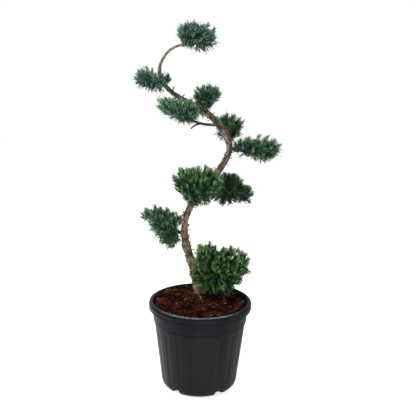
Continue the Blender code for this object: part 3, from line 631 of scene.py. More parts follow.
def bark_relief(shares, around, length, seed):
    """Height of the bark over a smooth stem, about -1 to 1: stringy strips at three widths, split
    by furrows and wound slowly round the stem, over plates that lift here and there. A furrow is
    noise folded about its middle."""
    turn, along = bark_grid(shares, around, length)
    turn = turn + 0.035 * (bark_noise(turn, along, length, 5, 0.030, seed + 4) - 0.5)
    broad, fine = (
        np.clip(2.2 * np.abs(2 * bark_noise(turn, along, length, count, cell, seed + k) - 1), 0, 1)
        for k, (count, cell) in enumerate(((8, 0.045), (19, 0.024)))
    )
    hair = bark_noise(turn, along, length, 42, 0.008, seed + 2)
    plates = bark_noise(turn, along, length, 4, 0.016, seed + 3)
    return 0.40 * broad + 0.50 * fine + 0.55 * hair + 0.75 * (plates - 0.5) - 0.72


def bark_streaks(shares, around, length, seed):
    """Shade of the bark's skin, about -1 to 1: narrow strips along the stem, broken into short
    lengths, with pale flakes and dark cracks."""
    turn, along = bark_grid(shares, around, length)
    strips = bark_noise(turn, along, length, 22, 0.013, seed) - 0.5
    broken = bark_noise(turn, along, length, 13, 0.006, seed + 1) - 0.5
    flakes = eased(bark_noise(turn, along, length, 24, 0.005, seed + 2), 0.80, 0.95)
    cracks = eased(bark_noise(turn, along, length, 20, 0.010, seed + 3), 0.78, 0.95)
    return 1.1 * strips + 0.8 * broken + 0.7 * flakes - 0.8 * cracks


def with_ends(shade):
    """A grid's shades with those of the two poles of its tube, as one row."""
    return np.concatenate([shade[:1], shade, shade[-1:]]).ravel()


# Shades by how high the bark stands, from painted shade in the furrows to painted light on the
# ridges, and its warm patches.
BARK_SHADES = (
    (0.20, (0.016, 0.010, 0.007)),
    (0.45, (0.088, 0.066, 0.048)),
    (0.78, (0.270, 0.224, 0.178)),
)
PATCH_EDGE = ((0.42, (0, 0, 0)), (0.66, (0.75, 0.75, 0.75)))
PATCH_TINT = (0.72, 0.53, 0.42, 1)
# Between these two heights: olive and worn, past the reddish middle, to the greyer leader. The
# paler stop at 0.80 is painted light, lifting the bark that the upper pads shade.
AGE_AND_LIGHT_HEIGHTS = (0.45, 1.30)
AGE_AND_LIGHT_TINTS = (
    (0.00, (1.30, 1.20, 0.92)),
    (0.50, (0.74, 0.66, 0.58)),
    (0.80, (1.06, 1.04, 1.04)),
    (1.00, (0.86, 0.89, 0.97)),
)


def stringy_bark():
    """Bark coloured by its own relief: dark furrows of painted shade, grey-brown strips and ridges
    paled by painted light, with warm patches and fine stringy grain."""
    material, nodes, links, shader = new_material("stringy_bark", BARK_SHADES[1][1], 0.88)
    relief = nodes.new("ShaderNodeAttribute")
    relief.attribute_name = "relief"
    shades = add_ramp(nodes, links, relief.outputs["Fac"], BARK_SHADES)
    mottle = add_mottle(nodes, links, 55.0, 520.0, 0.45)
    patches = add_ramp(nodes, links, mottle["Mask"], PATCH_EDGE)
    warmed = add_blend(nodes, links, patches, shades, PATCH_TINT, "MULTIPLY")
    rise = add_range(nodes, links, object_axes(nodes, links)["Z"], AGE_AND_LIGHT_HEIGHTS)
    # Tints by height, with painted light at 0.80 of the way up.
    aged_and_lit = add_blend(nodes, links, 1.0, warmed, add_ramp(nodes, links, rise, AGE_AND_LIGHT_TINTS), "MULTIPLY")
    links.new(aged_and_lit, shader.inputs["Base Color"])
    add_bump(nodes, links, shader, mottle["Fine"], 0.45, 0.0007)
    return material


BARK = stringy_bark()
trunk_length = line_length(TRUNK[:, :3])
relief = bark_relief(trunk_shares, TRUNK_AROUND, trunk_length, 31)
random = np.random.default_rng(32)
grid_turn = np.arange(TRUNK_AROUND)[None] / TRUNK_AROUND
knot_height = np.zeros_like(relief)
knots = zip(random.random(KNOTS), random.random(KNOTS), random.uniform(0.5, 1.0, KNOTS))
for share, turn, size in knots:
    # A healed knot: a low dome across the stem with a small hollow at its top.
    radius = np.interp(share, trunk_shares, TRUNK[:, 3])
    down = (trunk_shares[:, None] - share) * trunk_length / (radius * size)
    across = ((grid_turn - turn + 0.5) % 1 - 0.5) * 2 * math.pi / size
    away = np.hypot(down, across)
    knot_height += size * (np.exp(-(away**2) * 1.6) * 0.42 - np.exp(-(away**2) * 9) * 0.20)
ribs = 0.16 * flare[:, None] * np.cos(4 * 2 * math.pi * grid_turn + 0.6)
swell = 0.16 * (bark_noise(grid_turn, trunk_shares[:, None], trunk_length, 3, 0.022, 33) - 0.5)
scale = 0.17 * TRUNK[:, 3:4] + 0.0003
points, faces = carried_tube(
    TRUNK[:, :3],
    TRUNK[:, 3] * 0.97 * np.interp(TRUNK[:, 2], *GIRTHS),
    TRUNK_AROUND,
    relief * scale + (knot_height + ribs + swell) * TRUNK[:, 3:4],
    squared_foot=FOOT_LEVEL + 0.0003,
)
trunk = make_piece("trunk_bark", points, faces, [BARK])
# Paler towards the foot and towards the top of the trunk.
paler_ends = 0.06 * (1 - eased(TRUNK[:, 2:3], 0.45, 0.75)) + 0.08 * eased(TRUNK[:, 2:3], 1.15, 1.28)
streaks = bark_streaks(trunk_shares, TRUNK_AROUND, trunk_length, 36)
# Bark shade: darker in furrows and knot hollows and paler on ridges and knot domes, which is painted shade
# and painted light; the streaks are the bark's own colour.
shade = np.clip(0.46 + paler_ends + 0.45 * relief + 0.40 * streaks + 0.25 * knot_height, 0, 1)
add_attribute(trunk, "relief", with_ends(shade))
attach(trunk, "root")
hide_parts("trunk_base", "trunk_lower_turn", "trunk_upper_turn", "trunk_leader")

# ---------------------------------------------------------------- boughs
# Each side pad hangs on one bough that leaves the trunk at a bend. The bark is the trunk's, finer
# and a little darker. Every bough tapers and runs on into its pad as the pad's stem.
BOUGHS = {
    # Height on the trunk, tip, radius at the root and at the tip, and sag.
    "low_right": (0.395, (0.040, 0.035, 0.420), 0.0085, 0.0055, 0.004),
    "low_left": (0.620, (-0.105, 0.020, 0.630), 0.0070, 0.0050, 0.003),
    "middle_front": (0.745, (-0.030, -0.080, 0.780), 0.0070, 0.0050, 0.004),
    "middle_right": (0.795, (0.075, 0.005, 0.780), 0.0065, 0.0048, 0.004),
    "right": (0.960, (0.140, 0.005, 0.950), 0.0060, 0.0048, 0.001),
    "shoulder": (0.985, (0.100, 0.070, 1.000), 0.0060, 0.0045, 0.002),
    "upper_front": (1.042, (-0.055, 0.005, 1.066), 0.0060, 0.0045, 0.010),
    "upper_right": (1.090, (0.010, 0.100, 1.110), 0.0055, 0.0042, 0.001),
    "upper_left": (1.195, (-0.175, 0.020, 1.185), 0.0050, 0.0040, 0.001),
}
BOUGH_AROUND, BOUGH_ALONG = 28, 60


def trunk_at_height(height):
    """Place and radius of the trunk where it passes a height."""
    return TRUNK[np.argmin(np.abs(TRUNK[:, 2] - height))]


def bough_line(name, count):
    """The straight way from the trunk's middle to the bough's tip, with a parabola's sag."""
    height, tip, root_radius, tip_radius, sag = BOUGHS[name]
    root = trunk_at_height(height)[:3]
    shares = np.linspace(0, 1, count)[:, None]
    line = root + (np.array(tip) - root) * shares
    line[:, 2] -= 4 * sag * (shares * (1 - shares))[:, 0]
    return line, np.linspace(root_radius, tip_radius, count)


boughs = Joined()
for k, name in enumerate(BOUGHS):
    line, radii = bough_line(name, BOUGH_ALONG)
    length = line_length(line)
    shares = np.linspace(0, 1, BOUGH_ALONG)
    # The bough is a third thicker just outside the trunk, in its collar.
    radii = radii * (1 + 0.35 * np.exp(-((shares * length - 0.010) / 0.012) ** 2))
    relief = bark_relief(shares, BOUGH_AROUND, length, 41 + 5 * k)
    points, faces = carried_tube(line, radii * 0.96, BOUGH_AROUND, relief * (0.10 * radii[:, None]))
    streaks = bark_streaks(shares, BOUGH_AROUND, length, 43 + 5 * k)
    # As on the trunk: painted shade in the furrows and painted light on the ridges, over the bark's own
    # streaks.
    shade = np.clip(0.33 + 0.3 * relief + 0.3 * streaks, 0, 1)
    boughs.add(points, faces, 0, with_ends(shade))
boughs = boughs.make("bough_bark", [BARK])
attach(boughs, "root")
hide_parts(*(f"bough_{name}" for name in BOUGHS))

# ---------------------------------------------------------------- spurs and stubs
# What is left of the side shoots that were rubbed or cut off the trunk: dead, thin spurs that
# fork once, short dark round stubs, and a longer broken one under the upper front bough.
BROKEN_ROOT, BROKEN_TIP = np.array([[-0.016, 0.014, 1.046]]), np.array([[-0.046, -0.004, 1.030]])


def bowed_lines(roots, tips, steps, bow):
    """Lines from roots to tips that sag by bow times their length and turn up at the tip."""
    shares = np.linspace(0, 1, steps)[None, :, None]
    lines = roots[:, None] + (tips - roots)[:, None] * shares
    length = np.linalg.norm(tips - roots, axis=1)[:, None]
    lines[..., 2] -= bow * length * 4 * (shares * (1 - shares))[..., 0]
    return lines


def thin_tubes(lines, root_radius, tip_radius, sides):
    """Closed tubes along many lines at once: rings across a fixed side direction, and a pole at
    each end. lines is (tube, point, 3)."""
    count, steps = lines.shape[:2]
    forward = unit(np.gradient(lines, axis=1))
    rough = np.where(np.abs(forward[:, :1, 2:3]) > 0.9, (1.0, 0, 0), (0, 0, 1.0))
    side = unit(np.cross(forward, rough))
    other = np.cross(forward, side)
    angles = 2 * math.pi * np.arange(sides) / sides
    radii = np.linspace(root_radius, tip_radius, steps)
    ring = side[:, :, None] * np.cos(angles)[:, None] + other[:, :, None] * np.sin(angles)[:, None]
    points = lines[:, :, None] + ring * radii[:, None, None]
    ends = [np.broadcast_to(lines[:, None, k, None], (count, 1, sides, 3)) for k in (0, -1)]
    points = np.concatenate([ends[0], points, ends[1]], axis=1).reshape(count, -1, 3)
    faces = grid_triangles(steps + 2, sides, wrap=True)
    starts = (np.arange(count) * points.shape[1])[:, None, None]
    return points.reshape(-1, 3), (faces[None] + starts).reshape(-1, 3)


def side_shoots(seed, count, lengths, sides, root_radius, tip_radius, forks):
    """Shoots that leave the trunk's skin at random places, outwards and up, some with a fork."""
    random = np.random.default_rng(seed)
    places = ((0.05 + 0.75 * random.random(count) ** 1.6) * (TRUNK_ALONG - 1)).astype(int)
    rows = TRUNK[places]
    course = unit(np.gradient(TRUNK[:, :3], axis=0))[places]
    outward = unit(np.cross(course, random_ways(random, count)))
    ways = unit(outward + (0, 0, 0.45) + 0.3 * random_ways(random, count))
    long = random.uniform(*lengths, count)
    roots = rows[:, :3] + outward * rows[:, 3:4] * 0.7
    tips = roots + ways * long[:, None]
    lines = [bowed_lines(roots, tips, 4, 0.08)]
    if forks:
        twist = unit(ways + 0.9 * random_ways(random, count))
        knees = (roots + tips) / 2
        lines.append(bowed_lines(knees, knees + twist * long[:, None] * 0.5, 4, 0.05))
    return thin_tubes(np.concatenate(lines), root_radius, tip_radius, sides)


spurs = Joined()
spurs.add(*side_shoots(51, SPURS, (0.008, 0.022), 4, 0.0017, 0.0005, True), 0, 0.4)
spurs.add(*side_shoots(52, STUBS, (0.007, 0.013), 9, 0.0030, 0.0024, False), 0, 0.22)
spurs.add(*thin_tubes(bowed_lines(BROKEN_ROOT, BROKEN_TIP, 6, -0.1), 0.0040, 0.0026, 9), 0, 0.2)
spurs = spurs.make("trunk_spurs", [BARK])
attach(spurs, "root")

# ---------------------------------------------------------------- foliage pads
# Ten clipped pads and three loose tufts. In each a stem forks into twigs and twiglets, which end in
# plumes of slim pointed shoots covered in scale leaves: painted shade inside the pad, fresh green
# and painted light at the clipped surface and on the pad's top, bluer towards the top of the plant,
# with a few dead brown plumes.
PADS = {
    # A pad is a few overlapping lobes: each one's centre, its half sizes and its dip in degrees.
    "low_right": (
        ((0.095, 0.010, 0.505), (0.103, 0.085, 0.063), 3),
        ((0.023, 0.020, 0.535), (0.050, 0.055, 0.050), 0),
        ((0.070, 0.010, 0.440), (0.088, 0.080, 0.057), 0),
        ((0.005, -0.010, 0.460), (0.040, 0.045, 0.050), 0),
    ),
    "low_left": (
        ((-0.156, 0.020, 0.685), (0.082, 0.050, 0.039), 7),
        ((-0.147, 0.020, 0.651), (0.062, 0.048, 0.044), 42),
        ((-0.121, 0.020, 0.606), (0.045, 0.040, 0.056), 0),
    ),
    "middle_front": (
        ((-0.039, -0.120, 0.855), (0.068, 0.055, 0.054), 0),
        ((0.020, -0.115, 0.852), (0.060, 0.055, 0.050), 4),
        ((-0.012, -0.120, 0.802), (0.060, 0.045, 0.036), -10),
    ),
    "middle_right": (
        ((0.110, 0.030, 0.827), (0.050, 0.050, 0.038), 8),
        ((0.150, 0.030, 0.785), (0.050, 0.050, 0.040), 12),
        ((0.090, 0.030, 0.778), (0.058, 0.045, 0.040), 0),
    ),
    "right": (
        ((0.226, 0.005, 0.965), (0.074, 0.056, 0.040), 5),
        ((0.155, 0.005, 0.963), (0.046, 0.045, 0.036), 0),
        ((0.230, 0.005, 0.945), (0.044, 0.040, 0.034), 0),
    ),
    "shoulder": (
        ((0.103, 0.110, 1.043), (0.054, 0.050, 0.040), 5),
        ((0.100, 0.110, 1.010), (0.044, 0.045, 0.036), 5),
    ),
    "upper_front": (
        ((-0.115, 0.000, 1.108), (0.060, 0.050, 0.038), 16),
        ((-0.060, 0.000, 1.100), (0.048, 0.042, 0.038), 8),
        ((-0.070, 0.000, 1.082), (0.048, 0.035, 0.030), 5),
    ),
    "upper_right": (
        ((0.011, 0.100, 1.156), (0.053, 0.048, 0.036), -6),
        ((0.001, 0.095, 1.123), (0.037, 0.038, 0.034), 0),
    ),
    "upper_left": (
        ((-0.212, 0.000, 1.214), (0.048, 0.045, 0.037), 10),
        ((-0.185, 0.000, 1.195), (0.045, 0.036, 0.028), 14),
    ),
    "top": (
        ((-0.026, -0.050, 1.374), (0.072, 0.060, 0.042), 10),
        ((-0.020, -0.050, 1.352), (0.061, 0.050, 0.034), 4),
    ),
}
# A tuft is one round lobe: the height where it leaves the trunk, its centre and its radius.
TUFTS = {
    "upper_tuft": (1.185, (-0.142, 0.030, 1.214), 0.022),
    "middle_tuft": (1.100, (-0.016, 0.048, 1.095), 0.022),
    "lower_tuft": (1.055, (0.048, 0.030, 1.062), 0.020),
}
LOBES = dict(PADS)
LOBES.update({name: ((centre, (radius,) * 3, 0),) for name, (_, centre, radius) in TUFTS.items()})
CLUMP_SPACING = 0.0215  # from one clump of plumes to the next over a pad's surface
CLUMP_LENGTHS = (0.034, 0.052)
LAYERS = ((0.97, 0.10, 1.0), (0.76, 0.08, 1.30), (0.52, 0.08, 1.45))  # share out, its spread, spacing
PLUMES = (12, 8, 6)  # in a clump of each layer
# How strongly a clump points away from the pad's stem, outwards and up, and its plumes aside.
CLUMP_FAN, CLUMP_OUT, CLUMP_LIFT, PLUME_SPREAD = 0.85, 0.32, 0.55, 0.36
PLUME_LENGTHS = (0.011, 0.040)  # the least and the most
BARE_TWIGS, TWIG_DEPTH = 6, 1.38  # on each of the lowest forks, and how far out they may hang
BUNCH, BUNCH_REACH, BUNCH_SHADE = 0.026, 0.005, 0.85  # a bunch's width, how far it juts, how much lighter its plumes are painted
THIN_BELOW, THIN_SHARE = -0.55, 0.62  # past this downward slope, only this share of clumps grows
LOBE_OVERLAP = 0.12  # how deep in another lobe of its pad a point may lie, as a share of it
SOIL_GAP, CLUMP_GAP, PLUME_GAP, ROOT_GAP, TWIG_GAP = 0.012, 0.004, 0.002, 0.001, 0.003


def lobe_axes(dip):
    """The lobe's own directions as rows: along its length, across it and up through it."""
    cosine, sine = math.cos(math.radians(dip)), math.sin(math.radians(dip))
    return np.array([[cosine, 0, -sine], [0, 1, 0], [sine, 0, cosine]])


def lobe_depth(lobe, points):
    """How far out points lie in a lobe: 0 in its middle and 1 on its surface."""
    centre, halves, dip = lobe
    return np.linalg.norm((points - np.array(centre)) @ lobe_axes(dip).T / np.array(halves), axis=-1)


def pad_depth(name, points):
    """How far out points lie in a pad: the least of the depths in its lobes."""
    return np.min([lobe_depth(lobe, points) for lobe in LOBES[name]], axis=0)


def pad_seed(name):
    """The seed of a pad's random draws, from its name."""
    return zlib.crc32(name.encode())


def pad_centre(name):
    """The mean of the centres of a pad's lobes, weighted by their volumes."""
    sizes = [np.prod(halves) for _, halves, _ in LOBES[name]]
    return np.average([centre for centre, _, _ in LOBES[name]], axis=0, weights=sizes)


LIMB_LINES = [(TRUNK[::12, :3], TRUNK[::12, 3])] + [bough_line(name, 8) for name in BOUGHS]
LIMB_POINTS = np.concatenate([line for line, _ in LIMB_LINES])
LIMB_RADII = np.concatenate([radii for _, radii in LIMB_LINES])


def limb_gaps(points):
    """How far each point is from the nearest limb's surface."""
    return (np.linalg.norm(points[:, None] - LIMB_POINTS, axis=2) - LIMB_RADII).min(axis=1)


def in_own_space(name, points):
    """True for points that are no nearer to the middle of another pad than to that of their own,
    and clear of the potting mix. A tuft keeps off the trunk's front."""
    own = pad_depth(name, points)
    others = [pad_depth(other, points) for other in LOBES if other != name]
    free = (np.min(others, axis=0) > own) & (points[:, 2] > SOIL_EDGE + SOIL_GAP)
    if name in TUFTS:
        across = np.linalg.norm(points[:, None, ::2] - TRUNK[::4, :3:2], axis=2)
        nearest = TRUNK[::4][np.argmin(across, axis=1)]
        free &= (across.min(axis=1) > nearest[:, 3] * 0.9) | (points[:, 1] > nearest[:, 1])
    return free


def golden_directions(count):
    """Directions spread evenly over a sphere."""
    heights = 1 - 2 * (np.arange(count) + 0.5) / count
    turns = math.pi * (3 - math.sqrt(5)) * np.arange(count)
    flat = np.sqrt(1 - heights**2)
    return np.column_stack([flat * np.cos(turns), flat * np.sin(turns), heights])


def lobe_area(halves):
    """An ellipsoid's surface by Thomsen's formula."""
    a, b, c = np.array(halves) ** 1.6
    return 4 * math.pi * ((a * b + a * c + b * c) / 3) ** (1 / 1.6)


def lobe_points(name, k, share, spacing):
    """Points spread over a lobe's surface, at a share of the way out, and the outward directions
    there. Those buried in another lobe of the pad are left out."""
    centre, halves, dip = LOBES[name][k]
    count = max(5, round(lobe_area(halves) * share**2 / spacing**2))
    spread = golden_directions(count)
    points = centre + (spread * halves * share) @ lobe_axes(dip)
    outward = unit((spread / halves) @ lobe_axes(dip))
    others = [lobe_depth(lobe, points) for i, lobe in enumerate(LOBES[name]) if i != k]
    free = np.min(others, axis=0) > share - LOBE_OVERLAP if others else np.ones(count, bool)
    return points[free], outward[free]


def stem_start(name):
    """Where a pad's stem begins: on its bough's tip, on the trunk's tip or, in a tuft, on the trunk."""
    if name in TUFTS:
        return trunk_at_height(TUFTS[name][0])[:3]
    return bough_line(name, 8)[0][-1] if name in BOUGHS else TRUNK[-1, :3]


def bunching(points, seed):
    """Smooth values of about -1 to 1 over space: the products of three waves along crossing ways, at
    two widths. Foliage stands out in bunches where it is high, with painted light, and is hollow, with
    painted shade, where low."""
    random = np.random.default_rng(seed)
    total = 0
    for width, weight in ((BUNCH, 1.0), (BUNCH * 0.55, 0.7)):
        ways, starts = np.linalg.qr(random.normal(size=(3, 3)))[0], random.uniform(0, 6.3, 3)
        one, two, three = np.sin(points @ ways * (math.pi / width) + starts).T
        total = total + weight * (one * two + two * three + three * one)
    return np.clip(total / 1.5, -1, 1)


def clumps_of(name, random):
    """Tip, direction, length and layer of each clump: plumes that stand together round one twig's
    end, pointing outwards and lifted towards the light."""
    rows = []
    for layer, (share, vary, wider) in enumerate(LAYERS):
        for k in range(len(LOBES[name])):
            points, outward = lobe_points(name, k, share, CLUMP_SPACING * wider)
            middle, halves, _ = LOBES[name][k]
            jitter = 1 + random.normal(0, vary, (len(points), 1)).clip(-2 * vary, 1.3 * vary)
            tips = middle + (points - middle) * jitter + random.normal(0, 0.003, points.shape)
            swell = BUNCH_REACH * bunching(points, pad_seed(name)) + BUNCH_REACH * 0.15
            tips += outward * swell[:, None]
            fan = unit(tips - stem_start(name))
            lift = CLUMP_LIFT * (0.25 + 0.75 * eased(outward[:, 2:3], -0.7, 0.1))
            ways = CLUMP_FAN * fan + CLUMP_OUT * outward + lift * (0, 0, 1)
            ways = unit(ways + random.normal(0, 0.18, points.shape))
            length = random.uniform(*CLUMP_LENGTHS, len(points)) * min(1, 0.55 + 6 * min(halves))
            grown = random.random(len(points)) < np.where(outward[:, 2] < THIN_BELOW, THIN_SHARE, 1.0)
            rows.append(np.column_stack([tips, ways, length, np.full(len(points), layer)])[grown])
    rows = np.concatenate(rows)
    return rows[in_own_space(name, rows[:, :3]) & (limb_gaps(rows[:, :3]) > CLUMP_GAP)]


SHOOTS, LEAF_TURN = 10, 2.4  # in one plume, and the turn in radians from each to the next
# One shoot: a slim three-sided point of four faces, widest where it leaves the twig.
SHOOT = np.array([*((0, math.cos(a), math.sin(a)) for a in SPINDLE_ANGLES), (1, 0, 0)])
SHOOT_FACES = np.array([(0, 2, 1), (3, 0, 1), (3, 1, 2), (3, 2, 0)])


def plume_template(seed, shoots=SHOOTS, spreads=(0.16, 0.46), thickness=0.033):
    """One plume of unit length along X: a main shoot with side shoots round it, longest near the
    base. The last value is how fresh each face is: -1 to 1."""
    random = np.random.default_rng(seed)
    at = np.linspace(0.10, 0.86, shoots - 1) + random.uniform(-0.03, 0.03, shoots - 1)
    at = np.concatenate([[0.0], at])
    spread = np.concatenate([[0.02], random.uniform(*spreads, shoots - 1)])
    turn = LEAF_TURN * np.arange(shoots) + random.uniform(-0.4, 0.4, shoots)
    length = (0.42 - 0.22 * at) * random.uniform(0.60, 1.45, shoots)
    length[0] = 1.0
    aside = np.sin(spread)
    ways = np.stack([np.cos(spread), aside * np.cos(turn), aside * np.sin(turn)], axis=-1)
    centres = at[:, None] * (1, 0, 0)
    sizes = np.column_stack([length, np.full((shoots, 2), thickness)])
    up = np.tile([0.13, 0.21, 0.97], (shoots, 1))
    fresh_and_shade = np.repeat(np.where(at > 0.55, 1, np.where(at > 0.25, 0, -1)), len(SHOOT_FACES))
    return *scattered(SHOOT, SHOOT_FACES, centres, ways, up, sizes), fresh_and_shade


BUSHY, WHIPPY = 7, 4  # how many kinds of plume of each build: whips are long, bare and thin
PLUME_KINDS = [plume_template(seed) for seed in range(60, 60 + BUSHY)]
PLUME_KINDS += [plume_template(seed, 6, (0.18, 0.45), 0.021) for seed in range(80, 80 + WHIPPY)]

# Shades from the inside of a pad, where the darkest are painted shade, to its clipped surface: green
# low on the plant and, on the upper pads, bluer and greyer. The last two are dying and dead plumes.
GREEN_SHADES = (
    (0.006, 0.018, 0.009),
    (0.017, 0.058, 0.023),
    (0.042, 0.134, 0.038),
    (0.102, 0.268, 0.066),
    (0.250, 0.455, 0.128),
)
BLUE_SHADES = (
    (0.031, 0.078, 0.062),
    (0.047, 0.116, 0.090),
    (0.069, 0.170, 0.124),
    (0.100, 0.228, 0.154),
    (0.155, 0.305, 0.200),
)
DEAD_SHADES = ((0.160, 0.150, 0.055), (0.120, 0.065, 0.035))
# How much of a pad's foliage is blue, and how much lighter or darker the whole pad is painted:
# painted light and shade, darkest on the middle right pad, which sits in the front pad's shade.
TONES = {
    "low_right": (0.05, 0.24),
    "low_left": (0.55, -0.06),
    "middle_front": (0.15, -0.36),
    "middle_right": (0.10, -2.45),
    "right": (0.45, 0.00),
    "shoulder": (0.35, 0.00),
    "upper_front": (0.65, 1.45),
    "upper_right": (0.62, 0.02),
    "upper_left": (1.00, 0.55),
    "top": (0.95, -0.08),
    "upper_tuft": (0.90, 0.00),
    "middle_tuft": (0.40, 0.30),
    "lower_tuft": (0.40, -0.30),
}


def leaf_finish(name, colour):
    """A plain waxy leaf in one shade."""
    material, _, _, shader = new_material(name, colour, 0.55)
    shader.inputs["Specular IOR Level"].default_value = 0.22
    return material


LEAF_SHADES = {"green_leaf": GREEN_SHADES, "blue_leaf": BLUE_SHADES, "dead_leaf": DEAD_SHADES}
LEAVES = [
    leaf_finish(f"{name}_{k}", colour)
    for name, shades in LEAF_SHADES.items()
    for k, colour in enumerate(shades)
]
FRESHEST, DEAD_FIRST, DEAD_SHARE = len(GREEN_SHADES) - 1, len(GREEN_SHADES) + len(BLUE_SHADES), 0.022
# A plume's freshness and painted light: its start, the painted shade that a layer inwards takes
# off, the freshness and painted shade that depth adds, and the painted light that height adds.
FRESH_START, LAYER_SHADE, DEPTH_FRESH_AND_SHADE, RISE_LIGHT = 1.75, 1.9, 4, 0.35

# Whips on each outer clump, their lengths, their mean freshness, and how far past the clump's tip
# they end.
WHIPS, WHIP_LENGTHS, WHIP_FRESH, WHIP_PAST = 5, (0.030, 0.056), 0.9, (-0.014, 0.003)
# Blades that hang out of a pad: which way, how many, and how far they reach past its surface.
HANGING = {
    "low_right": ((0.58, -0.25, -0.78), 90, 0.012),
    "low_left": ((-0.65, -0.10, -0.75), 100, 0.015),
    "middle_front": ((0.35, -0.20, -0.90), 36, 0.012),
    "right": ((-0.10, -0.20, -0.95), 30, 0.010),
    "upper_front": ((-0.25, -0.20, -0.95), 24, 0.008),
    "upper_left": ((-0.30, -0.20, -0.95), 14, 0.006),
    "middle_tuft": ((0.10, -0.30, -0.95), 30, 0.012),
}
HANG_LENGTHS = (0.034, 0.060)
FULL_BLADES = "low_right"  # here the hanging blades are full plumes, in a loose fan, and no whips


def whips_of(name, clumps, random):
    """Root, direction and length of the whips: long thin shoots that the shears missed. They stand
    barely past a pad's clipped top, and stick out and hang further below it."""
    outer = clumps[clumps[:, 7] == 0]
    away = unit(outer[:, :3] - pad_centre(name))
    owner = np.repeat(np.arange(len(outer)), WHIPS)
    outward = away[owner]
    below = eased(-outward[:, 2], -0.55, 0.45)[:, None]
    ways = outer[owner, 3:6] * (outer[owner, 5:6] + 0.7) + outward + 0.42 * random_ways(random, len(owner))
    ways = unit(ways - below * (0, 0, 0.55))
    long = random.uniform(*WHIP_LENGTHS, len(owner))
    past = random.uniform(*WHIP_PAST, len(owner))
    past = past + below[:, 0] * random.uniform(0, 0.012, len(owner))
    if name in HANGING:
        way, count, reach = HANGING[name]
        facing = np.flatnonzero(away @ unit(np.array(way)) > 0.60)
        hung = facing[random.integers(0, len(facing), count)]
        owner = np.concatenate([owner, hung])
        ways = np.concatenate([ways, unit(way + 0.8 * away[hung] + 0.25 * random_ways(random, count))])
        long = np.concatenate([long, random.uniform(*HANG_LENGTHS, count)])
        past = np.concatenate([past, random.uniform(0, reach, count)])
    long = long * min(1, 9 * min(min(halves) for _, halves, _ in LOBES[name]) + 0.55)
    tips = outer[owner, :3] + 0.010 * random_ways(random, len(owner)) + ways * past[:, None]
    return tips - ways * long[:, None], ways, long


def plumes_of(name, clumps, random):
    """Root, direction, length and freshness, with painted light and shade, of every plume, and whether
    it is a whip. Each clump's plumes leave the outer part of its twig in a loose bundle, and keep the
    clump's own shade."""
    owner = np.repeat(np.arange(len(clumps)), np.array(PLUMES)[clumps[:, 7].astype(int)])
    tips, ways, length, layer = (clumps[owner, part] for part in (slice(3), slice(3, 6), 6, 7))
    place = random.uniform(0.02, 0.55, len(owner))
    roots = tips - ways * (length * (1 - place))[:, None]
    lean = PLUME_SPREAD * random.uniform(0.1, 1.6, len(owner))
    aside = unit(np.cross(ways, random_ways(random, len(owner))))
    plume_ways = unit(ways + aside * lean[:, None] + (0, 0, 0.10))
    long = length * (1 - place) * random.uniform(0.75, 1.05, len(owner)) / (1 + 0.25 * lean)
    long = long.clip(*PLUME_LENGTHS)
    ends = roots + plume_ways * long[:, None]
    depth = pad_depth(name, ends)
    heights = [centre[2] for centre, _, _ in LOBES[name]]
    rise = (ends[:, 2] - np.mean(heights)) / 0.05
    # Painted shade deep in the pad and in its inner layers, painted light towards its top, and each pad's
    # own painted light and shade from TONES.
    fresh_and_shade = FRESH_START + TONES[name][1] - LAYER_SHADE * layer
    fresh_and_shade += DEPTH_FRESH_AND_SHADE * (depth - 0.85) + RISE_LIGHT * rise
    fresh_and_shade += random.normal(0, 0.55, len(clumps))[owner]
    # Painted light on the bunches and painted shade in the hollows between them.
    fresh_and_shade += BUNCH_SHADE * bunching(clumps[:, :3], pad_seed(name))[owner]
    fresh_and_shade += random.normal(0, 0.70, len(owner))
    whips = whips_of(name, clumps, random)
    roots, plume_ways, long = (np.concatenate(both) for both in zip((roots, plume_ways, long), whips))
    ends = roots + plume_ways * long[:, None]
    fresh_and_shade = np.concatenate([fresh_and_shade, random.normal(WHIP_FRESH, 0.9, len(whips[0]))])
    order = np.arange(len(roots))
    full = HANGING[name][1] if name == FULL_BLADES else 0
    whippy = (order >= len(owner)) & (order < len(roots) - full)
    keep = in_own_space(name, ends) & (limb_gaps(ends) > PLUME_GAP) & (limb_gaps(roots) > ROOT_GAP)
    return roots[keep], plume_ways[keep], long[keep], fresh_and_shade[keep], whippy[keep]


def plumes_piece(sort, name, random, roots, ways, lengths, fresh_and_shade, whippy):
    """All plumes of a pad as one piece. Each kind of plume is placed many times, each plume is
    dealt one shade, and its tips are one shade fresher than its base."""
    rows = len(roots)
    shade = np.clip(np.round(fresh_and_shade), -1, FRESHEST + 1)
    blue = random.random(rows) < TONES[name][0]
    dead = random.random(rows) < DEAD_SHARE
    dead = np.where(dead, DEAD_FIRST + random.integers(0, len(DEAD_SHADES), rows), 0)
    kinds = np.where(whippy, BUSHY + random.integers(0, WHIPPY, rows), random.integers(0, BUSHY, rows))
    up = unit(np.array([0, 0, 1.0]) + 0.8 * random_ways(random, rows))
    leaves = Joined()
    for kind, (template, faces, fresher) in enumerate(PLUME_KINDS):
        mine = kinds == kind
        sizes = np.repeat(lengths[mine, None], 3, axis=1)
        points, triangles = scattered(template, faces, roots[mine], ways[mine], up[mine], sizes)
        dealt = np.clip(shade[mine][:, None] + fresher, 0, FRESHEST)
        dealt = dealt + len(GREEN_SHADES) * blue[mine][:, None]
        dealt = np.where(dead[mine][:, None] > 0, dead[mine][:, None], dealt)
        leaves.add(points, triangles, dealt.ravel())
    return leaves.make(f"{sort}_{name}", LEAVES, smooth=False)


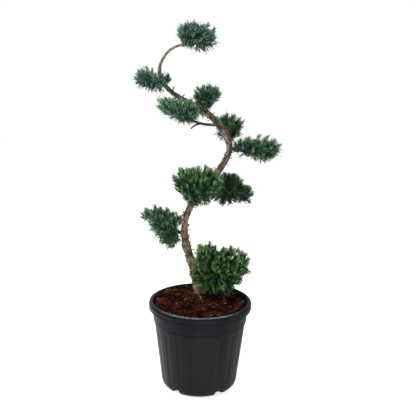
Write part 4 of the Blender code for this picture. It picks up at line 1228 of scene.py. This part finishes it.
# Radii at the root and the tip of a pad's stem, a tuft's stem, and each finer kind of twig.
STEM_RADII, TUFT_STEM_RADII, BRANCH_RADII = (0.0043, 0.0026), (0.0022, 0.0016), (0.0020, 0.0013)
TWIGLET_RADII, BARE_RADII = (0.0011, 0.0006), (0.0011, 0.0005)
FORK_SHARE, FORK_SPACING = 0.42, 0.0258  # how far out the forks end, and from one to the next


def bare_twigs(name, forks, random):
    """Dead twigs that hang out under a pad, each with one side twig. A twig that would reach too
    far out is drawn back a little at a time."""
    low = forks[np.argsort(forks[:, 2])[: max(4, len(forks) // 3)]]
    roots = np.repeat(low, BARE_TWIGS, axis=0)
    ways = unit(roots - pad_centre(name) + 0.03 * random_ways(random, len(roots)) - (0, 0, 0.028))
    reach = random.uniform(0.03, 0.10, (len(roots), 1))
    while (far := pad_depth(name, roots + ways * reach) > TWIG_DEPTH).any():
        reach[far] *= 0.92
    tips = roots + ways * reach
    knees = (roots + tips) / 2 + ways * reach * 0.1
    sides = unit(ways + 1.1 * random_ways(random, len(roots)))
    forked = bowed_lines(knees, knees + sides * reach * 0.35, 5, 0.0)
    lines = np.concatenate([bowed_lines(roots, tips, 5, 0.05), forked])
    free = (limb_gaps(lines[:, -1]) > TWIG_GAP) & (lines[:, -1, 2] > SOIL_EDGE + 0.01)
    return thin_tubes(lines[free], *BARE_RADII, 4)


def twigs_piece(name, clumps, random):
    """The pad's stem, its forks and a twiglet to each clump, as one piece. Each clump hangs on the
    nearest fork, and each fork on the stem."""
    centre = pad_centre(name)
    small = name in TUFTS
    start = stem_start(name)
    end = start + (centre - start) * 0.85
    stem = bowed_lines(start[None], end[None], 8, 0.04)[0]
    spots = [lobe_points(name, k, FORK_SHARE, FORK_SPACING)[0] for k in range(len(LOBES[name]))]
    forks = np.concatenate([end[None], *spots])
    axis = end - start
    share = np.clip((forks - start) @ axis / (axis @ axis) - 0.30, 0.15, 1)
    twigs = Joined()
    stem_radii = np.linspace(*(TUFT_STEM_RADII if small else STEM_RADII), 8)
    twigs.add(*carried_tube(stem, stem_radii, 10), 0, 0.35)
    branches = bowed_lines(start + axis * share[:, None], forks, 6, 0.12)
    twigs.add(*thin_tubes(branches, *BRANCH_RADII, 5), 0, 0.4)
    ends = clumps[:, :3] - clumps[:, 3:6] * clumps[:, 6:7] * 0.35
    nearest = np.argmin(np.linalg.norm(clumps[:, None, :3] - forks, axis=2), axis=1)
    twiglets = bowed_lines(forks[nearest], ends, 5, 0.12)
    twigs.add(*thin_tubes(twiglets, *TWIGLET_RADII, 4), 0, 0.42)
    if not small and not name.startswith("low_"):
        twigs.add(*bare_twigs(name, forks, random), 0, 0.3)
    return twigs.make(f"twigs_{name}", [BARK])


for name in LOBES:
    random = np.random.default_rng(pad_seed(name))
    clumps = clumps_of(name, random)
    plumes = plumes_of(name, clumps, random)
    leaves = plumes_piece("leaves", name, random, *(values[~plumes[4]] for values in plumes))
    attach(leaves, "root")
    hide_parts(f"foliage_{name}")
    whips = plumes_piece("whips", name, random, *(values[plumes[4]] for values in plumes))
    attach(whips, "root")
    twigs = twigs_piece(name, clumps, random)
    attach(twigs, "root")

# ---------------------------------------------------------------- floor, light and camera
# A plain studio with a pale floor: white behind the plant and on its right, dim in front and on its
# left, with a large soft key from the upper left and a weak fill from the right. The camera stands
# 2.45 m in front and looks slightly down.
FLOOR_GLOW, ROOM_LIGHT, WALL_LIGHT, WALL_TURN = 0.75, 0.22, 1.02, math.radians(22)

bpy.ops.mesh.primitive_plane_add(size=14)
floor = bpy.context.object
floor.name = "floor"
floor_material, _, _, floor_shader = new_material("white_floor", (0.80, 0.80, 0.80), 0.9)
floor_shader.inputs["Emission Color"].default_value = (1, 1, 1, 1)
floor_shader.inputs["Emission Strength"].default_value = FLOOR_GLOW
floor.data.materials.append(floor_material)
floor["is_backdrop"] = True


def studio_world():
    """White surroundings behind, fading by a smooth step to a dim room in front. The step follows
    the Y of the direction once that is turned a little, so the left side is dim as well."""
    world = bpy.data.worlds.new("studio")
    world.use_nodes = True
    nodes, links = world.node_tree.nodes, world.node_tree.links
    way, turn, split = (nodes.new(f"ShaderNode{kind}") for kind in ("TexCoord", "Mapping", "SeparateXYZ"))
    turn.inputs["Rotation"].default_value = (0, 0, WALL_TURN)
    links.new(way.outputs["Generated"], turn.inputs["Vector"])
    links.new(turn.outputs["Vector"], split.inputs["Vector"])
    fade = (ROOM_LIGHT, WALL_LIGHT)
    level = add_range(nodes, links, split.outputs["Y"], (-0.15, 0.75), fade, "SMOOTHSTEP")
    links.new(level, nodes["Background"].inputs["Strength"])
    nodes["Background"].inputs["Color"].default_value = (1, 1, 1, 1)
    return world


def add_soft_light(name, place, target, size, power):
    """A square area light at place, facing the target."""
    data = bpy.data.lights.new(name, "AREA")
    data.size = size
    data.energy = power
    light = bpy.data.objects.new(name, data)
    light.location = place
    light.rotation_euler = (Vector(target) - Vector(place)).to_track_quat("-Z", "Y").to_euler()
    bpy.context.scene.collection.objects.link(light)


LIGHT_SIZE, KEY_POWER, FILL_POWER = 1.6, 165, 6
bpy.context.scene.world = studio_world()
add_soft_light("key", (-1.5, -1.7, 3.6), (0, 0, 0.8), LIGHT_SIZE, KEY_POWER)
add_soft_light("fill", (2.4, -1.8, 1.8), (0, 0, 0.6), LIGHT_SIZE, FILL_POWER)

CAMERA_PLACE, CAMERA_DOWN, CAMERA_ROLL = (0.0236, -2.448, 1.279), 0.22214, 0.01965
SENSOR, LENS = 36, 56.45
camera_data = bpy.data.cameras.new("camera")
camera_data.sensor_width = SENSOR
camera_data.lens = LENS
camera = bpy.data.objects.new("camera", camera_data)
aim = Matrix.Rotation(math.pi / 2 - CAMERA_DOWN, 4, "X") @ Matrix.Rotation(CAMERA_ROLL, 4, "Z")
camera.matrix_world = Matrix.Translation(CAMERA_PLACE) @ aim
bpy.context.scene.collection.objects.link(camera)
bpy.context.scene.camera = camera
bpy.context.scene.view_settings.view_transform = "Standard"

sizes = {"cad": cad_box, "visual": [list(corner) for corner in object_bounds()]}
